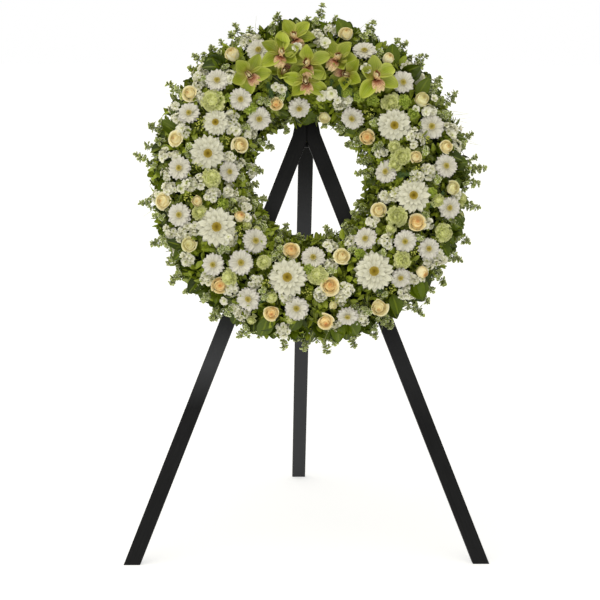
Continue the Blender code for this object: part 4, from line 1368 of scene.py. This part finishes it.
# bearing, section angle and the way the frond runs, clockwise from up, in degrees
FERNS = (
    (12, -26, 20), (17, -22, 50), (24, -16, -20), (8, -22, -30), (20, -30, 10), (345, -24, 0),
    (335, -20, 160), (88, -20, 90), (100, 24, 40), (170, -4, 200), (150, 20, 120), (200, 24, 240),
)
draw = np.random.default_rng(1597)
grids = []
for bearing, angle, heading in FERNS:
    seat = Seat(bearing, angle, 0.0, HEAD_RISE - 0.010)
    heading = math.radians(heading)
    share = draw.uniform(0, 1, FERN_NEEDLES)
    line = np.array((math.sin(heading), math.cos(heading), 0.25))
    side = np.array((math.cos(heading), -math.sin(heading), 0.1))
    base = (share[:, None] - 0.5) * FERN_LENGTH * line
    spread = draw.uniform(0.4, 1.3, FERN_NEEDLES)[:, None] * draw.choice((-1, 1), FERN_NEEDLES)[:, None]
    along = unit(line + spread * side + draw.uniform(-0.4, 0.5, (FERN_NEEDLES, 3)))
    length = draw.uniform(0.008, 0.016, FERN_NEEDLES) * (1.1 - 0.5 * share)
    grid, marks = blades(
        base, along, (0, 0, 1), length, 0.0011, lambda t: 1 - 0.8 * t**3, 4, 2,
        draw.uniform(0, 1, FERN_NEEDLES), draw, curl=0.3,
    )
    grids += seat.put([(grid, marks, 0, False)])
# Bear grass: bearing of the root, and of the tip from it, in degrees
GRASS = (
    (58, 5), (60, 7), (63, 8), (64, 4), (66, 3), (69, 9), (71, 6), (74, 5), (78, 9), (80, 4),
    (82, 7), (47, 8), (306, -6), (336, 6), (148, 8), (171, 6), (262, -5), (16, 5),
)
grass_pale = leaf_finish("bear_grass", shade(150, 160, 96), shade(186, 190, 140), shade(190, 194, 146), 0.5)
root_bearing, swing = np.radians(np.array(GRASS, float)).T
count = len(GRASS)
roots = ring_place(root_bearing, draw.uniform(0.355, 0.380, count), 0.075)
tips = ring_place(root_bearing + swing, draw.uniform(0.440, 0.450, count), draw.uniform(0.05, 0.10, count))
along = unit(tips - roots + 0.03 * ring_out)
reach = np.linalg.norm(tips - roots, axis=1)
grid, marks = blades(
    roots, along, -ring_out, reach * 1.04, 0.0012, lambda t: 1 - 0.85 * t**2, 12, 3,
    draw.uniform(0, 1, count), draw, curl=0.7, cup=0.5,
)
grids.append((grid, marks, 1, False))
knit("fern_and_grass", grids, [fern_green, grass_pale])


# ---------------------------------------------------------------- studio
# A plain white floor under even, soft light from all round, with one large soft lamp above, in
# front and a little to the left. The camera stands a little left of the wreath, near the height
# of its top, and looks slightly down.

FLOOR_HALF = 80.0
corners = [(x * FLOOR_HALF, y * FLOOR_HALF, 0) for x, y in ((-1, -1), (1, -1), (1, 1), (-1, 1))]
floor_mesh = bpy.data.meshes.new("studio_floor")
floor_mesh.from_pydata(corners, [], [(0, 1, 2, 3)])
studio_floor = bpy.data.objects.new("studio_floor", floor_mesh)
bpy.context.scene.collection.objects.link(studio_floor)
paper = Finish("white_floor", 0.9, specular=0.1)
paper.shader.inputs["Base Color"].default_value = (0.62, 0.62, 0.62, 1)
paper.shader.inputs["Emission Color"].default_value = (1, 1, 1, 1)
paper.shader.inputs["Emission Strength"].default_value = 0.58
floor_mesh.materials.append(paper.material)

# The room: white where it meets the floor, and dimmer above, so that the lamp gives the form
sky = bpy.data.worlds.new("studio_light")
sky.use_nodes = True
links, nodes = sky.node_tree.links, sky.node_tree.nodes
direction = nodes.new("ShaderNodeTexCoord")
height = nodes.new("ShaderNodeSeparateXYZ")
band = nodes.new("ShaderNodeValToRGB")
HORIZON, WALLS = 0.05, 0.14
for element, (place, level) in zip(band.color_ramp.elements, ((HORIZON, 1.0), (WALLS, 0.32))):
    element.position = place
    element.color = (level, level, level, 1)
links.new(direction.outputs["Generated"], height.inputs[0])
links.new(height.outputs["Z"], band.inputs["Fac"])
links.new(band.outputs["Color"], nodes["Background"].inputs["Color"])
bpy.context.scene.world = sky
bpy.context.scene.view_settings.view_transform = "Standard"

lamp = bpy.data.lights.new("soft_lamp", "SUN")
lamp.energy = 2.0
lamp.color = (1.0, 0.975, 0.86)
lamp.angle = math.radians(75)
soft_lamp = bpy.data.objects.new("soft_lamp", lamp)
aim = Vector((0.27, 0.40, -0.88))
soft_lamp.rotation_euler = aim.to_track_quat("-Z", "Y").to_euler()
soft_lamp.location = -3 * aim
bpy.context.scene.collection.objects.link(soft_lamp)

LENS_MM, SENSOR_MM = 102.0, 36.0
LOOK_DOWN, ROLL, LOOK_RIGHT = 8.76, -0.25, 1.42  # degrees
lens = bpy.data.cameras.new("camera")
lens.lens, lens.sensor_width = LENS_MM, SENSOR_MM
lens.clip_start, lens.clip_end = 0.1, 100
camera = bpy.data.objects.new("camera", lens)
camera.location = (-0.129, -4.679, 1.347)
camera.rotation_euler = (math.radians(90 - LOOK_DOWN), math.radians(ROLL), math.radians(-LOOK_RIGHT))
bpy.context.scene.collection.objects.link(camera)
bpy.context.scene.camera = camera
